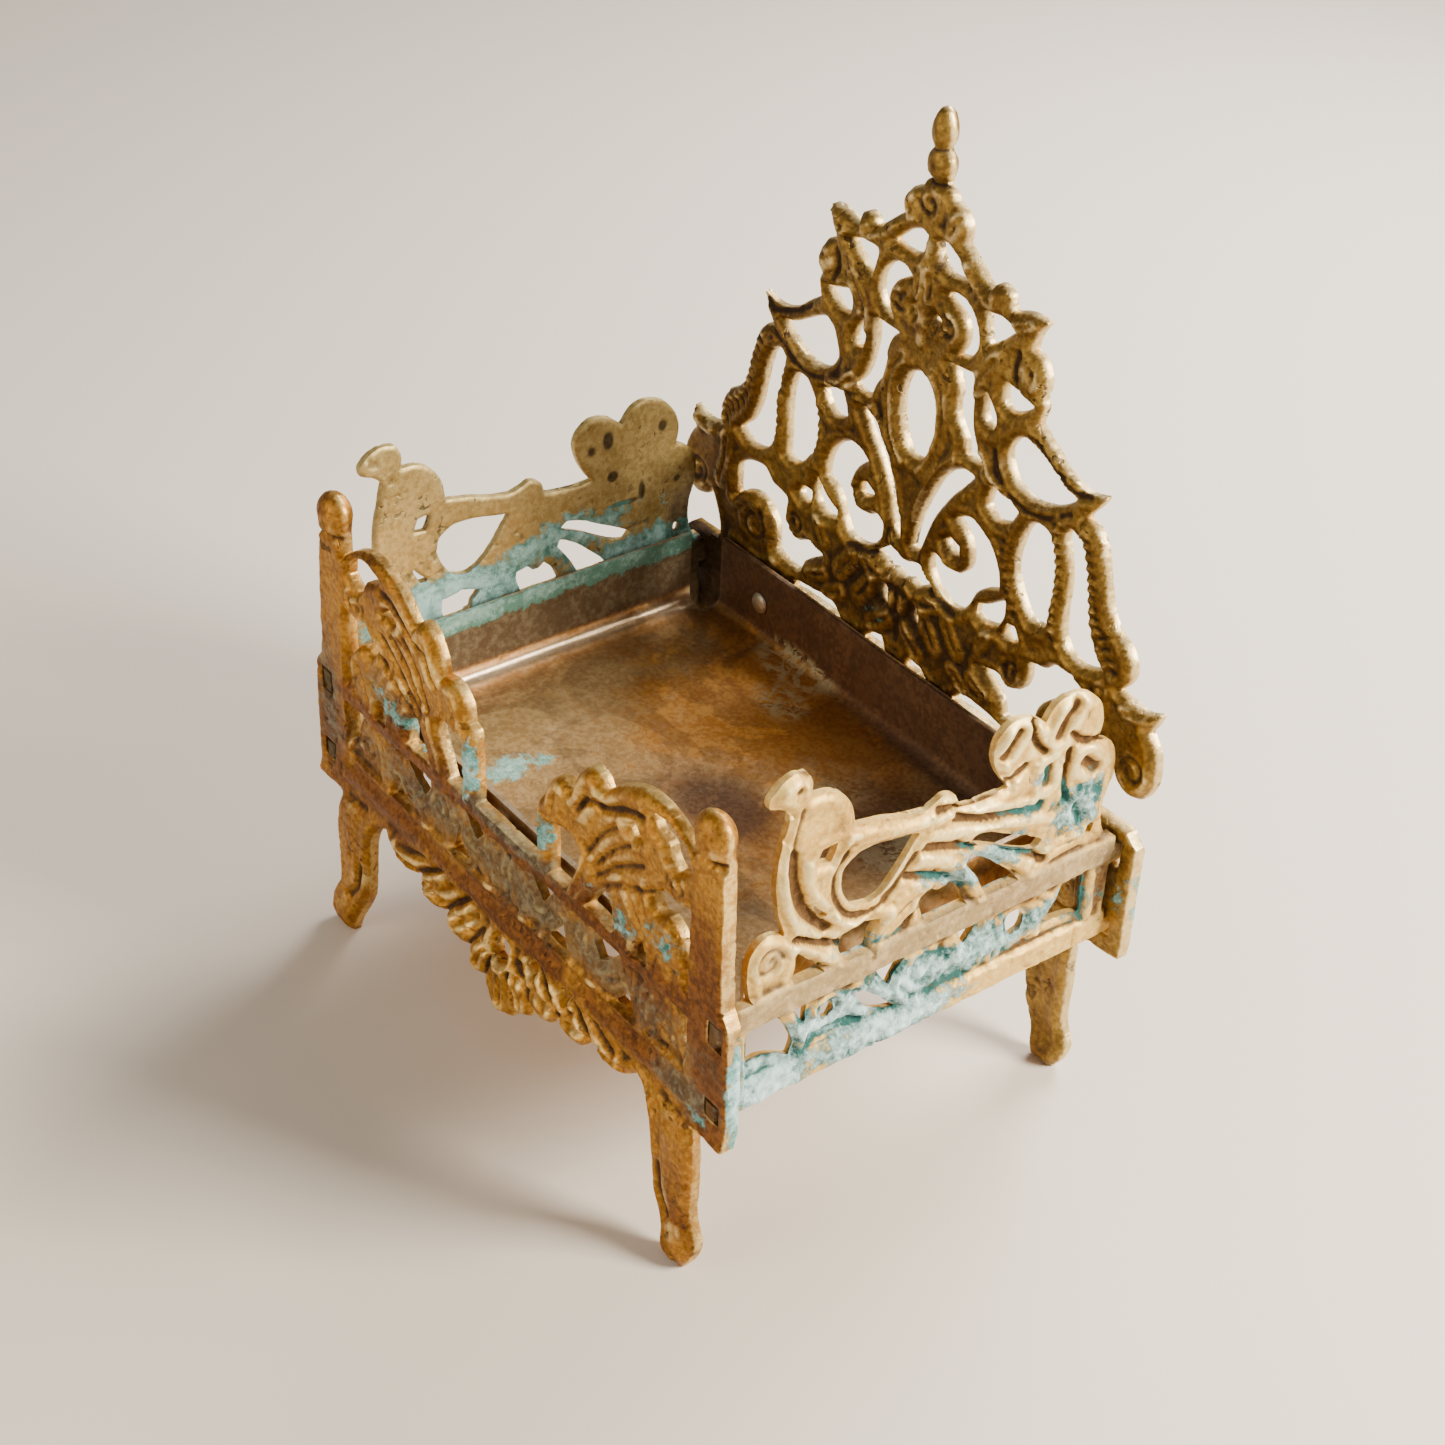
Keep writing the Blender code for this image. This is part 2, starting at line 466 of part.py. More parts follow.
def side_openings():
    """Pierced openings of a side casting."""
    rail = SIDE_RAIL_TOP
    beam = SIDE_RAIL_UNDER
    return [
        loop_of([[(31.4, 60.0), (29.6, 57.2), (27.8, 54.8), (26.0, 53.0), (23.6, 52.2), (21.5, 52.8),
                  (19.8, 54.8), (18.9, 57.2), (19.4, 59.8), (21.2, 61.0), (24.4, 61.2), (28.0, 60.6),
                  (31.4, 60.0)]]),
        loop_of([[(14.8, 62.0), (15.6, 64.0), (18.0, 64.1)], [(18.0, 64.1), (16.9, 61.6), (14.8, 62.0)]]),
        loop_of([[(14.4, 56.3), (15.6, 54.9), (17.4, 53.2)], [(17.4, 53.2), (15.9, 53.2), (14.4, 56.3)]]),
        loop_of([[(11.9, rail), (16.9, rail)], [(16.9, rail), (14.6, 47.2), (12.5, 49.3)],
                 [(12.5, 49.3), (12.3, 47.0), (11.9, rail)]]),
        loop_of([[(20.4, rail), (24.2, rail)], [(24.2, rail), (24.6, 46.8), (26.2, 48.6)],
                 [(26.2, 48.6), (23.2, 49.4), (19.6, 48.9)], [(19.6, 48.9), (19.4, 47.0), (20.4, rail)]]),
        loop_of([[(33.8, rail), (40.6, rail)], [(40.6, rail), (39.4, 47.4), (37.4, 49.6)],
                 [(37.4, 49.6), (36.4, 48.9), (35.4, 48.8), (34.4, 49.8), (32.4, 49.5), (32.6, 47.2),
                  (33.8, rail)]]),
        loop_of([[(44.0, rail), (49.6, rail)], [(49.6, rail), (47.0, 47.6), (43.2, 50.9), (40.3, 52.6)],
                 [(40.3, 52.6), (39.8, 51.4), (42.0, 48.4), (44.0, rail)]]),
        loop_of([[(53.4, 49.6), (51.4, 50.9), (48.0, 52.6), (44.2, 54.6), (41.4, 55.3), (40.2, 54.4),
                  (44.8, 52.1), (49.0, 49.8), (52.4, 48.5), (53.4, 49.6)]]),
        curve_through([(61.6, 48.7), (63.0, 48.2), (62.6, 46.6), (61.4, 47.2)], closed=True),
        loop_of([[(5.3, 40.6), (5.3, 34.8)], [(5.3, 34.8), (7.4, 34.9), (9.9, 34.0), (12.3, 32.6)],
                 [(12.3, 32.6), (12.9, 34.6), (11.5, 38.0), (9.5, 40.6)], [(9.5, 40.6), (5.3, 40.6)]]),
        loop_of([[(11.9, beam), (13.3, 38.7), (14.7, 36.6)], [(14.7, 36.6), (14.8, beam)],
                 [(14.8, beam), (11.9, beam)]]),
        curve_through([(17.2, 38.4), (18.8, 38.6), (19.4, 37.2), (18.6, 35.9), (17.2, 36.2)], closed=True),
        loop_of([[(22.6, 38.2), (24.2, 35.2), (27.0, 33.2), (30.2, 32.2)],
                 [(30.2, 32.2), (27.4, 34.8), (25.0, 36.9), (22.6, 38.2)]]),
        loop_of([[(25.6, beam), (27.0, 38.4), (28.4, 36.4)], [(28.4, 36.4), (30.0, 39.2), (32.5, beam)],
                 [(32.5, beam), (25.6, beam)]]),
        loop_of([[(39.8, beam), (40.4, 38.8), (41.2, 37.4)], [(41.2, 37.4), (42.8, 39.4), (44.6, beam)],
                 [(44.6, beam), (39.8, beam)]]),
        curve_through([(48.9, 38.5), (50.6, 39.0), (52.0, 37.4), (51.4, 35.2), (49.8, 34.8), (48.8, 36.5)],
                      closed=True),
        loop_of([[(54.9, 34.6), (57.2, 36.6), (59.2, beam)], [(59.2, beam), (62.2, beam)],
                 [(62.2, beam), (62.3, 33.4)], [(62.3, 33.4), (58.6, 34.2), (54.9, 34.6)]])]


def build_front(material):
    """The front casting: posts, wings, frieze, fan and two cabriole legs in one."""
    openings = on_both_sides(front_openings()) + [fan_eye()]
    bm = cut_plate(front_outline(), openings, front_place, FRONT_THICKNESS)
    return add_object("front_panel", bm, material)


def build_back(material):
    """The back casting: tall peacock headboard, rails, plates and the rear legs in one."""
    pairs = crown_openings() + tail_openings() + volute_openings() + rear_frieze() + [rivet_hole(RIVET_X)]
    openings = on_both_sides(pairs) + middle_openings()
    bm = cut_plate(back_outline(), openings, headboard_place, BACK_THICKNESS)
    return add_object("back_panel", bm, material)


def build_side(name, sign, material):
    """A side casting with a peacock on its rail and tenons at both ends."""
    bm = cut_plate(side_outline(), side_openings(), facing_side(sign), SIDE_THICKNESS)
    return add_object(name, bm, material)


def wall_path(rim):
    """Section of a tray wall from where the floor ends to the rim: (outward, height) of the outer skin."""
    centre = (-TRAY_FOLD, TRAY_FLOOR - TRAY_SHEET + TRAY_FOLD)
    return arc(centre, TRAY_FOLD, -90, 0, FOLD_STEPS) + [(0.0, rim)]


def inner_path(rim):
    """The same section on the inner skin."""
    centre = (-TRAY_FOLD, TRAY_FLOOR - TRAY_SHEET + TRAY_FOLD)
    return arc(centre, TRAY_FOLD - TRAY_SHEET, -90, 0, FOLD_STEPS) + [(-TRAY_SHEET, rim)]


def tray_wall_rows(bm, start, along, outward, rim):
    """Two skins of one wall: lists of vertex pairs, one pair for each end of the wall."""
    def row(path):
        return [[bm.verts.new(Vector((*(end + outward * out), height))) for end in (start, start + along)]
                for out, height in path]
    return row(wall_path(rim)), row(inner_path(rim))


def close_wall(bm, outer, inner):
    """Skin the wall between its outer and inner rows, with its rim and both ends."""
    for side, flip in ((outer, False), (inner, True)):
        for (a, b), (c, d) in zip(side, side[1:]):
            bm.faces.new((a, b, d, c) if not flip else (a, c, d, b))
    for end in (0, 1):
        for (lower_out, upper_out), (lower_in, upper_in) in zip(zip(outer, outer[1:]), zip(inner, inner[1:])):
            bm.faces.new((lower_out[end], upper_out[end], upper_in[end], lower_in[end]))
    bm.faces.new((outer[-1][0], outer[-1][1], inner[-1][1], inner[-1][0]))


def build_tray(material):
    """A shallow pan folded from one sheet, with its corners cut out."""
    x = TRAY_HALF_WIDTH
    y0 = FRONT_FACE_Y + TRAY_FRONT_Y
    y1 = FRONT_FACE_Y + TRAY_BACK_Y
    cut = TRAY_NOTCH
    sides = [((x, y0 + cut), (0, y1 - y0 - 2 * cut), (1, 0), TRAY_RIM),
             ((x - cut, y1), (-2 * (x - cut), 0), (0, 1), TRAY_RIM),
             ((-x, y1 - cut), (0, y0 - y1 + 2 * cut), (-1, 0), TRAY_RIM),
             ((-x + cut, y0), (2 * (x - cut), 0), (0, -1), TRAY_FRONT_RIM)]
    bm = bmesh.new()
    under = []
    over = []
    for start, along, outward, rim in sides:
        outer, inner = tray_wall_rows(bm, Vector(start), Vector(along), Vector(outward), rim)
        close_wall(bm, outer, inner)
        under.extend(outer[0])
        over.extend(inner[0])
    corners = [(x - cut, y1 - cut), (-x + cut, y1 - cut), (-x + cut, y0 + cut), (x - cut, y0 + cut)]
    for ring, height in ((under, TRAY_FLOOR - TRAY_SHEET), (over, TRAY_FLOOR)):
        for number, (cx, cy) in enumerate(corners):
            ring.insert(2 + 3 * number, bm.verts.new((cx, cy, height)))
    bm.faces.new(under)
    bm.faces.new(over)
    count = len(under)
    for index in range(count):
        after = (index + 1) % count
        if index % 3 != 0:
            bm.faces.new((under[index], under[after], over[after], over[index]))
    return add_object("tray", bm, material)


def rivet_bore(name, x, material):
    """A round cutter that drills the tray's back wall for one rivet."""
    bm = bmesh.new()
    bmesh.ops.create_cone(bm, cap_ends=True, segments=HOLE_FACETS, radius1=RIVET_SHANK + CLEARANCE,
                          radius2=RIVET_SHANK + CLEARANCE, depth=4 * TRAY_SHEET)
    turn = Vector((0, 0, 1)).rotation_difference(Vector((0, 1, 0))).to_matrix()
    bmesh.ops.rotate(bm, matrix=turn, verts=bm.verts)
    bmesh.ops.translate(bm, vec=(x, FRONT_FACE_Y + TRAY_BACK_Y, RIVET_Z), verts=bm.verts)
    return add_object(name, bm, material)


def drill(body, cutter, label):
    """Cut a hidden helper solid out of a piece."""
    modifier = body.modifiers.new(label, "BOOLEAN")
    modifier.operation = "DIFFERENCE"
    modifier.object = cutter
    cutter.hide_render = True
    cutter.display_type = "WIRE"


def build_rivet(name, x, material):
    """A rivet turned about its own axis: a low dome inside the tray, a shank and a peened tail."""
    inside = TRAY_BACK_Y - TRAY_SHEET - CLEARANCE
    outside = BED_LENGTH + CLEARANCE
    tail_end = BED_LENGTH + RIVET_TAIL
    across, down = RIVET_SHOULDER
    section = [(0.0, inside - RIVET_HEAD_RISE), (across * RIVET_HEAD, inside - down * RIVET_HEAD_RISE),
               (RIVET_HEAD, inside), (RIVET_SHANK, inside), (RIVET_SHANK, outside),
               (RIVET_TAIL_RADIUS, outside), (RIVET_SHANK, tail_end), (0.0, tail_end)]
    bm = bmesh.new()
    line = [bm.verts.new((radius, along, 0.0)) for radius, along in section]
    edges = [bm.edges.new(pair) for pair in zip(line, line[1:])]
    bmesh.ops.spin(bm, geom=line + edges, cent=(0, 0, 0), axis=(0, 1, 0), angle=2 * math.pi,
                   steps=RIVET_FACETS)
    bmesh.ops.remove_doubles(bm, verts=bm.verts, dist=WELD)
    bmesh.ops.translate(bm, vec=(x, FRONT_FACE_Y, RIVET_Z), verts=bm.verts)
    return add_object(name, bm, material)


def build():
    """Clear the scene and build every piece."""
    for thing in list(bpy.data.objects):
        bpy.data.objects.remove(thing, do_unlink=True)
    front_brass = brass("front_brass", (0.62, 0.38, 0.13), 0.42)
    back_brass = brass("back_brass", (0.55, 0.36, 0.14), 0.45)
    left_brass = brass("left_side_brass", (0.60, 0.46, 0.22), 0.46)
    right_brass = brass("right_side_brass", (0.66, 0.56, 0.36), 0.5)
    tray_brass = brass("tray_brass", (0.50, 0.30, 0.16), 0.38)
    rivet_metal = brass("rivet_metal", (0.72, 0.70, 0.66), 0.4)
    build_front(front_brass)
    build_back(back_brass)
    build_side("left_side_panel", -1, left_brass)
    build_side("right_side_panel", 1, right_brass)
    tray = build_tray(tray_brass)
    for side, x in (("left", -RIVET_X), ("right", RIVET_X)):
        drill(tray, rivet_bore(f"{side}_bore", x, tray_brass), f"{side} rivet hole")
        build_rivet(f"{side}_rivet", x, rivet_metal)


build()
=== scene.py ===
"""Looks of the miniature cast-brass bed-throne.

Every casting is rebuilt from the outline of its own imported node: the node's front face gives the
pierced outline, the distance to that outline gives the rounded bars, and strokes drawn in the plane
of the casting give its ridges, grooves, bosses and pits.  The tray is a notched sheet folded up by a
formula.  Lengths are in millimetres until a mesh is made.
"""
import logging
import math
from dataclasses import dataclass, field, replace
from enum import Enum
from typing import Callable, Sequence

import bpy
import numpy as np
from mathutils import Matrix, Vector


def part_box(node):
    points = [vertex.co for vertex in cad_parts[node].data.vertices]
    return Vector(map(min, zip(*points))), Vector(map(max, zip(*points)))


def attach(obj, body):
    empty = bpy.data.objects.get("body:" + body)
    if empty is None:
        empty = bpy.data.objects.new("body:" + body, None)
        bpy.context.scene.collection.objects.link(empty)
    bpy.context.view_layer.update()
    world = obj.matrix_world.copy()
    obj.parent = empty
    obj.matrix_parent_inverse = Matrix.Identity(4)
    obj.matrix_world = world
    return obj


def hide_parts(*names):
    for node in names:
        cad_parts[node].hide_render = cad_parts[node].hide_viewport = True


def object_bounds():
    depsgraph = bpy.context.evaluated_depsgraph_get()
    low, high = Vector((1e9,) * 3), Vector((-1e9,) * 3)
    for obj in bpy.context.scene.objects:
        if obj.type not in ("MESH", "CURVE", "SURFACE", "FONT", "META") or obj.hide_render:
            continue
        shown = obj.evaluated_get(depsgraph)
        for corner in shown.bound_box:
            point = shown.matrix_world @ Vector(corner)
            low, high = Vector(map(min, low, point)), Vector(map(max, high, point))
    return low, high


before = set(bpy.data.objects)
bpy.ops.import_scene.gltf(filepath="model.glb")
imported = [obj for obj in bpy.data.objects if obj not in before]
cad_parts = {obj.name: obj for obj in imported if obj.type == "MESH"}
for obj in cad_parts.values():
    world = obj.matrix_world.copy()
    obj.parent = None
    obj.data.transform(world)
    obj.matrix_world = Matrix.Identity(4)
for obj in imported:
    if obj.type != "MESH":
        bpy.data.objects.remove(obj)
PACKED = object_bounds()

LOG = logging.getLogger("bed_throne")
MM = 0.001
Point = tuple[float, float]
Colour = tuple[float, float, float]
GRID_OFFSET = 0.000371      # keeps grid rows off the outline's own corners
REACH = 6.0                 # distances to an outline are only needed this far
TURN_LIMIT = math.radians(48)   # a sharper turn in an outline is kept as a corner
LONG_CHORD = 2.6            # a longer chord of an outline is a straight edge
CAST_CREASE = math.radians(38)  # a sharper edge of a casting is shaded as an edge
RIVET_CREASE = math.radians(50)
ROPE_PITCH = 1.5            # spacing of the notches of a rope
MOULD_BLUR = 0.14           # how far a sand mould blurs its pattern
HIGHEST = 0.9               # the relief stays this near to the face of the node
WOBBLE = 0.10               # how far an outline wanders


def smooth_step(value: np.ndarray) -> np.ndarray:
    """0 below 0, 1 above 1, 3t^2 - 2t^3 between."""
    held = np.clip(value, 0.0, 1.0)
    return held * held * (3.0 - 2.0 * held)


def band(value: np.ndarray, low: float, high: float, soft: float) -> np.ndarray:
    """1 between low and high, falling smoothly to 0 over a width of soft outside them."""
    return smooth_step((value - low) / soft + 1.0) * smooth_step((high - value) / soft + 1.0)


def blurred(values: np.ndarray, weight: np.ndarray, spread: float) -> np.ndarray:
    """Weighted Gaussian blur: the values times a weight are blurred and divided by the blurred weight.

    Args:
        values: Numbers on the grid.
        weight: 1 where a value counts, 0 where it doesn't.
        spread: Standard deviation in grid steps.

    Returns:
        The blurred values, on the same grid.
    """
    reach = int(math.ceil(3 * spread))
    kernel = np.exp(-0.5 * (np.arange(-reach, reach + 1) / spread) ** 2)
    kernel /= kernel.sum()

    def along_axis(grid: np.ndarray, axis: int) -> np.ndarray:
        """One pass of the kernel along an axis.

        Args:
            grid: Numbers on the grid.
            axis: 0 for across, 1 for up.

        Returns:
            The blurred numbers.
        """
        pad = [(0, 0), (0, 0)]
        pad[axis] = (reach, reach)
        wide = np.pad(grid, pad, mode="edge")
        size = grid.shape[axis]
        parts = [k * np.take(wide, np.arange(i, i + size), axis) for i, k in enumerate(kernel)]
        return np.sum(parts, axis=0)

    top = along_axis(along_axis(values * weight, 0), 1)
    bottom = along_axis(along_axis(weight, 0), 1)
    return top / np.maximum(bottom, 1e-6)


def cloud(u: np.ndarray, v: np.ndarray, cell: float, seed: int) -> np.ndarray:
    """Smooth random relief from -1 to 1, blended between random numbers on a lattice of the given cell.

    Args:
        u: Drawing coordinates across.
        v: Drawing coordinates up.
        cell: Size of the lattice's cells in millimetres.
        seed: Start of the random numbers.

    Returns:
        The relief at each point.
    """
    rng = np.random.default_rng(seed)
    table = rng.uniform(-1.0, 1.0, (256, 256))
    x, y = u / cell, v / cell
    x0, y0 = np.floor(x).astype(int), np.floor(y).astype(int)
    s, t = smooth_step(x - x0), smooth_step(y - y0)

    def at(i: np.ndarray, j: np.ndarray) -> np.ndarray:
        """Random number of a lattice corner."""
        return table[i % 256, j % 256]

    near = at(x0, y0) * (1 - s) + at(x0 + 1, y0) * s
    far = at(x0, y0 + 1) * (1 - s) + at(x0 + 1, y0 + 1) * s
    return near * (1 - t) + far * t


def catmull_rom(p0: np.ndarray, p1: np.ndarray, p2: np.ndarray, p3: np.ndarray,
                t: float | np.ndarray) -> np.ndarray:
    """Points at t, from 0 to 1, on the Catmull-Rom curves from p1 to p2."""
    return 0.5 * (2 * p1 + (p2 - p0) * t + (2 * p0 - 5 * p1 + 4 * p2 - p3) * t ** 2
                  + (3 * p1 - p0 - 3 * p2 + p3) * t ** 3)


def curve_through(points: Sequence[Point], per_span: int = 6) -> np.ndarray:
    """Points on a Catmull-Rom curve through the given ones, per_span to each span.

    Args:
        points: Knots of the curve.
        per_span: Points from each knot to the next.

    Returns:
        The points, one row each.
    """
    knots = np.array(points, float)
    if len(knots) < 3:
        return knots
    ends = np.vstack([2 * knots[0] - knots[1], knots, 2 * knots[-1] - knots[-2]])
    p0, p1, p2, p3 = (ends[i:len(ends) - 3 + i, None] for i in range(4))
    t = np.linspace(0, 1, per_span, endpoint=False)[None, :, None]
    line = catmull_rom(p0, p1, p2, p3, t)
    return np.vstack([line.reshape(-1, 2), knots[-1:]])


def in_mm(box: Sequence[Sequence[float]]) -> tuple[np.ndarray, ...]:
    """The two corners of a box in millimetres."""
    return tuple(np.array(corner) / MM for corner in box)


def mesh_piece(name: str, points: np.ndarray, faces: list[Sequence[int]], values: dict[str, np.ndarray],
               crease: float) -> bpy.types.Object:
    """Make a smooth mesh object in metres with its attributes filled.

    Args:
        name: Name of the piece.
        points: Positions in millimetres.
        faces: Vertex numbers of each face.
        values: One number for each vertex, by attribute name.
        crease: A sharper edge is shaded as an edge, in radians.

    Returns:
        The object, linked to the scene.
    """
    mesh = bpy.data.meshes.new(name)
    mesh.from_pydata((points * MM).tolist(), [], faces)
    for key, numbers in values.items():
        mesh.attributes.new(key, "FLOAT", "POINT").data.foreach_set("value", numbers.astype(np.float32))
    mesh.polygons.foreach_set("use_smooth", np.ones(len(faces), bool))
    mesh.set_sharp_from_angle(angle=crease)
    mesh.update()
    piece = bpy.data.objects.new(name, mesh)
    bpy.context.scene.collection.objects.link(piece)
    return piece


# ---------------------------------------------------------------------------------- outlines

@dataclass
class Outline:
    """The pierced outline of a casting as directed segments, solid on their left."""

    start: np.ndarray
    end: np.ndarray

    @classmethod
    def of_cap(cls, corners: np.ndarray, triangles: np.ndarray) -> "Outline":
        """Outline of a flat cap: the triangle edges that no other triangle shares.

        Args:
            corners: Positions in the drawing plane, one for each merged vertex.
            triangles: Vertex numbers, three for each triangle, all turning the same way.
        """
        edges = np.vstack([triangles[:, [0, 1]], triangles[:, [1, 2]], triangles[:, [2, 0]]])
        size = len(corners)
        codes = edges[:, 0] * size + edges[:, 1]
        lone = edges[~np.isin(codes, edges[:, 1] * size + edges[:, 0])]
        after = np.zeros(size, int)
        before = np.zeros(size, int)
        after[lone[:, 0]] = lone[:, 1]
        before[lone[:, 1]] = lone[:, 0]
        return cls._rounded(corners, lone, before, after)

    @classmethod
    def _rounded(cls, corners: np.ndarray, edges: np.ndarray, before: np.ndarray,
                 after: np.ndarray) -> "Outline":
        """Replace each chord by four on the Catmull-Rom curve through its neighbours, except at corners.

        Args:
            corners: Positions in the drawing plane.
            edges: Corner numbers of each chord's two ends.
            before: For each corner, the one before it.
            after: For each corner, the one after it.

        Returns:
            The rounded outline.
        """
        p1, p2 = corners[edges[:, 0]], corners[edges[:, 1]]
        p0, p3 = corners[before[edges[:, 0]]], corners[after[edges[:, 1]]]
        chord = np.linalg.norm(p2 - p1, axis=1, keepdims=True)

        def eased(outer: np.ndarray, near: np.ndarray, sign: float) -> np.ndarray:
            """Neighbour to steer by, swapped for a straight run-on at a corner or beside a long chord.

            Args:
                outer: The neighbour's place.
                near: The chord's end beside it.
                sign: 1 before the chord, -1 after it.

            Returns:
                The place to steer by.
            """
            first, second = (near - outer) * sign, p2 - p1
            length = np.linalg.norm(first, axis=1, keepdims=True)
            cosine = np.sum(first * second, axis=1, keepdims=True) / np.maximum(length * chord, 1e-9)
            bent = (cosine < math.cos(TURN_LIMIT)) | (chord > LONG_CHORD) | (length > LONG_CHORD)
            return np.where(bent, near - sign * second, outer)

        p0, p3 = eased(p0, p1, 1.0), eased(p3, p2, -1.0)
        steps = [catmull_rom(p0, p1, p2, p3, t) for t in (0.0, 0.25, 0.5, 0.75)]
        return cls(np.vstack(steps), np.vstack([*steps[1:], p2]))

    @classmethod
    def of_polygon(cls, points: Sequence[Point]) -> "Outline":
        """Outline of a plain polygon given counter-clockwise."""
        ring = np.array(points, float)
        return cls(ring, np.roll(ring, -1, axis=0))


def nearest(start: np.ndarray, end: np.ndarray, u: np.ndarray, v: np.ndarray) -> tuple[np.ndarray, ...]:
    """Distance from each point to the nearest segment, and where on the segments it lies.

    Args:
        start: Segment starts, one row each.
        end: Segment ends.
        u: Point coordinates across, one-dimensional.
        v: Point coordinates up, one-dimensional.

    Returns:
        Distance, number of the nearest segment, and the share of the way along it.
    """
    du, dv = (end - start).T
    size = np.maximum(du * du + dv * dv, 1e-9)
    pu = u[:, None] - start[:, 0]
    pv = v[:, None] - start[:, 1]
    share = np.clip((pu * du + pv * dv) / size, 0.0, 1.0)
    gap = np.hypot(pu - share * du, pv - share * dv)
    pick = gap.argmin(axis=1)
    rows = np.arange(len(u))
    return gap[rows, pick], pick, share[rows, pick]


@dataclass
class Lattice:
    """A square grid over a flat outline, cut to it, which becomes a closed solid between two heights.

    Attributes:
        outline: The shape to fill.
        pitch: Grid step in millimetres.
        u: Place of each grid point across.
        v: Place of each grid point up.
        inset: Distance of each grid point inside the outline, negative outside it.
        cells: Which cells are kept.
        used: Which grid points are corners of kept cells.
        quads: The kept cells, as numbers of their corners.
        rim: The directed edges that only one kept cell has.
    """

    outline: Outline
    pitch: float
    u: np.ndarray = field(init=False, repr=False)
    v: np.ndarray = field(init=False, repr=False)
    inset: np.ndarray = field(init=False, repr=False)
    cells: np.ndarray = field(init=False, repr=False)
    used: np.ndarray = field(init=False, repr=False)
    quads: np.ndarray = field(init=False, repr=False)
    rim: np.ndarray = field(init=False, repr=False)

    def __post_init__(self) -> None:
        """Lay the grid, measure every point's distance inside the outline and choose the cells."""
        outline, pitch = self.outline, self.pitch
        low = np.minimum(outline.start.min(0), outline.end.min(0)) - 2 * pitch - GRID_OFFSET
        high = np.maximum(outline.start.max(0), outline.end.max(0)) + 2 * pitch
        self.u, self.v = np.meshgrid(np.arange(low[0], high[0], pitch), np.arange(low[1], high[1], pitch),
                                     indexing="ij")
        self.inset = np.zeros_like(self.u)
        self._measure()
        self._choose_cells()
        self._settle_rim()

    def _measure(self) -> None:
        """Signed distance, positive inside; the sign comes from counting the crossings of a ray."""
        start, end = self.outline.start, self.outline.end
        low, high = np.minimum(start[:, 1], end[:, 1]), np.maximum(start[:, 1], end[:, 1])
        rows = 6
        for first in range(0, self.u.shape[1], rows):
            part = np.s_[:, first:first + rows]
            u, v = self.u[part], self.v[part]
            near = (high > v.min() - REACH) & (low < v.max() + REACH)
            a, b = start[near], end[near]
            gap, _, _ = nearest(a, b, u.ravel(), v.ravel())
            rise = np.where(np.abs(b[:, 1] - a[:, 1]) < 1e-9, 1e-9, b[:, 1] - a[:, 1])
            flat_u, flat_v = u.ravel()[:, None], v.ravel()[:, None]
            spans = (a[:, 1] > flat_v) != (b[:, 1] > flat_v)
            cross = a[:, 0] + (flat_v - a[:, 1]) * (b[:, 0] - a[:, 0]) / rise
            inside = (np.sum(spans & (cross > flat_u), axis=1) % 2) == 1
            self.inset[part] = (np.minimum(gap, REACH) * np.where(inside, 1.0, -1.0)).reshape(u.shape)

    def _choose_cells(self) -> None:
        """Keep the cells whose middle is inside, and fill one cell wherever two meet only at a corner."""
        inset = self.inset
        middle = 0.25 * (inset[:-1, :-1] + inset[1:, :-1] + inset[:-1, 1:] + inset[1:, 1:])
        cells = middle > 0.0
        for _ in range(4):
            a, b, c, d = cells[:-1, :-1], cells[1:, :-1], cells[:-1, 1:], cells[1:, 1:]
            cells[1:, :-1] |= a & d & ~b & ~c
            a, b, c, d = cells[:-1, :-1], cells[1:, :-1], cells[:-1, 1:], cells[1:, 1:]
            cells[:-1, :-1] |= b & c & ~a & ~d
        self.cells = cells

    def solid(self, name: str, near: np.ndarray, far: np.ndarray, place: Callable[..., np.ndarray],
              marks: dict[str, tuple[np.ndarray, np.ndarray]]) -> bpy.types.Object:
        """Close the grid into a solid: near skin, far skin, and a wall along the outline.

        Args:
            name: Name of the new piece.
            near: Depth of the near skin at each grid point.
            far: Depth of the far skin.
            place: Turns (u, v, depth) arrays into positions in millimetres.
            marks: Numbers carried to the material, for the near and the far skin, by attribute name.

        Returns:
            The finished piece, in metres.
        """
        used, rim = self.used, self.rim
        count = int(used.sum())
        u, v = self.u[used], self.v[used]
        skin = place(u, v, near[used])
        lining = place(u, v, far[used])
        walls = np.stack([rim[:, 1], rim[:, 0], rim[:, 0] + count, rim[:, 1] + count], axis=1)
        faces = np.vstack([self.quads, self.quads[:, ::-1] + count, walls])
        values = {key: np.concatenate([a[used], b[used]]) for key, (a, b) in marks.items()}
        points = np.vstack([skin, lining])
        corners = points[faces[:, :3]]
        volume = np.sum(np.cross(corners[:, 0], corners[:, 1]) * corners[:, 2])
        if volume < 0:
            faces = faces[:, ::-1]
        return mesh_piece(name, points, faces.tolist(), values, CAST_CREASE)

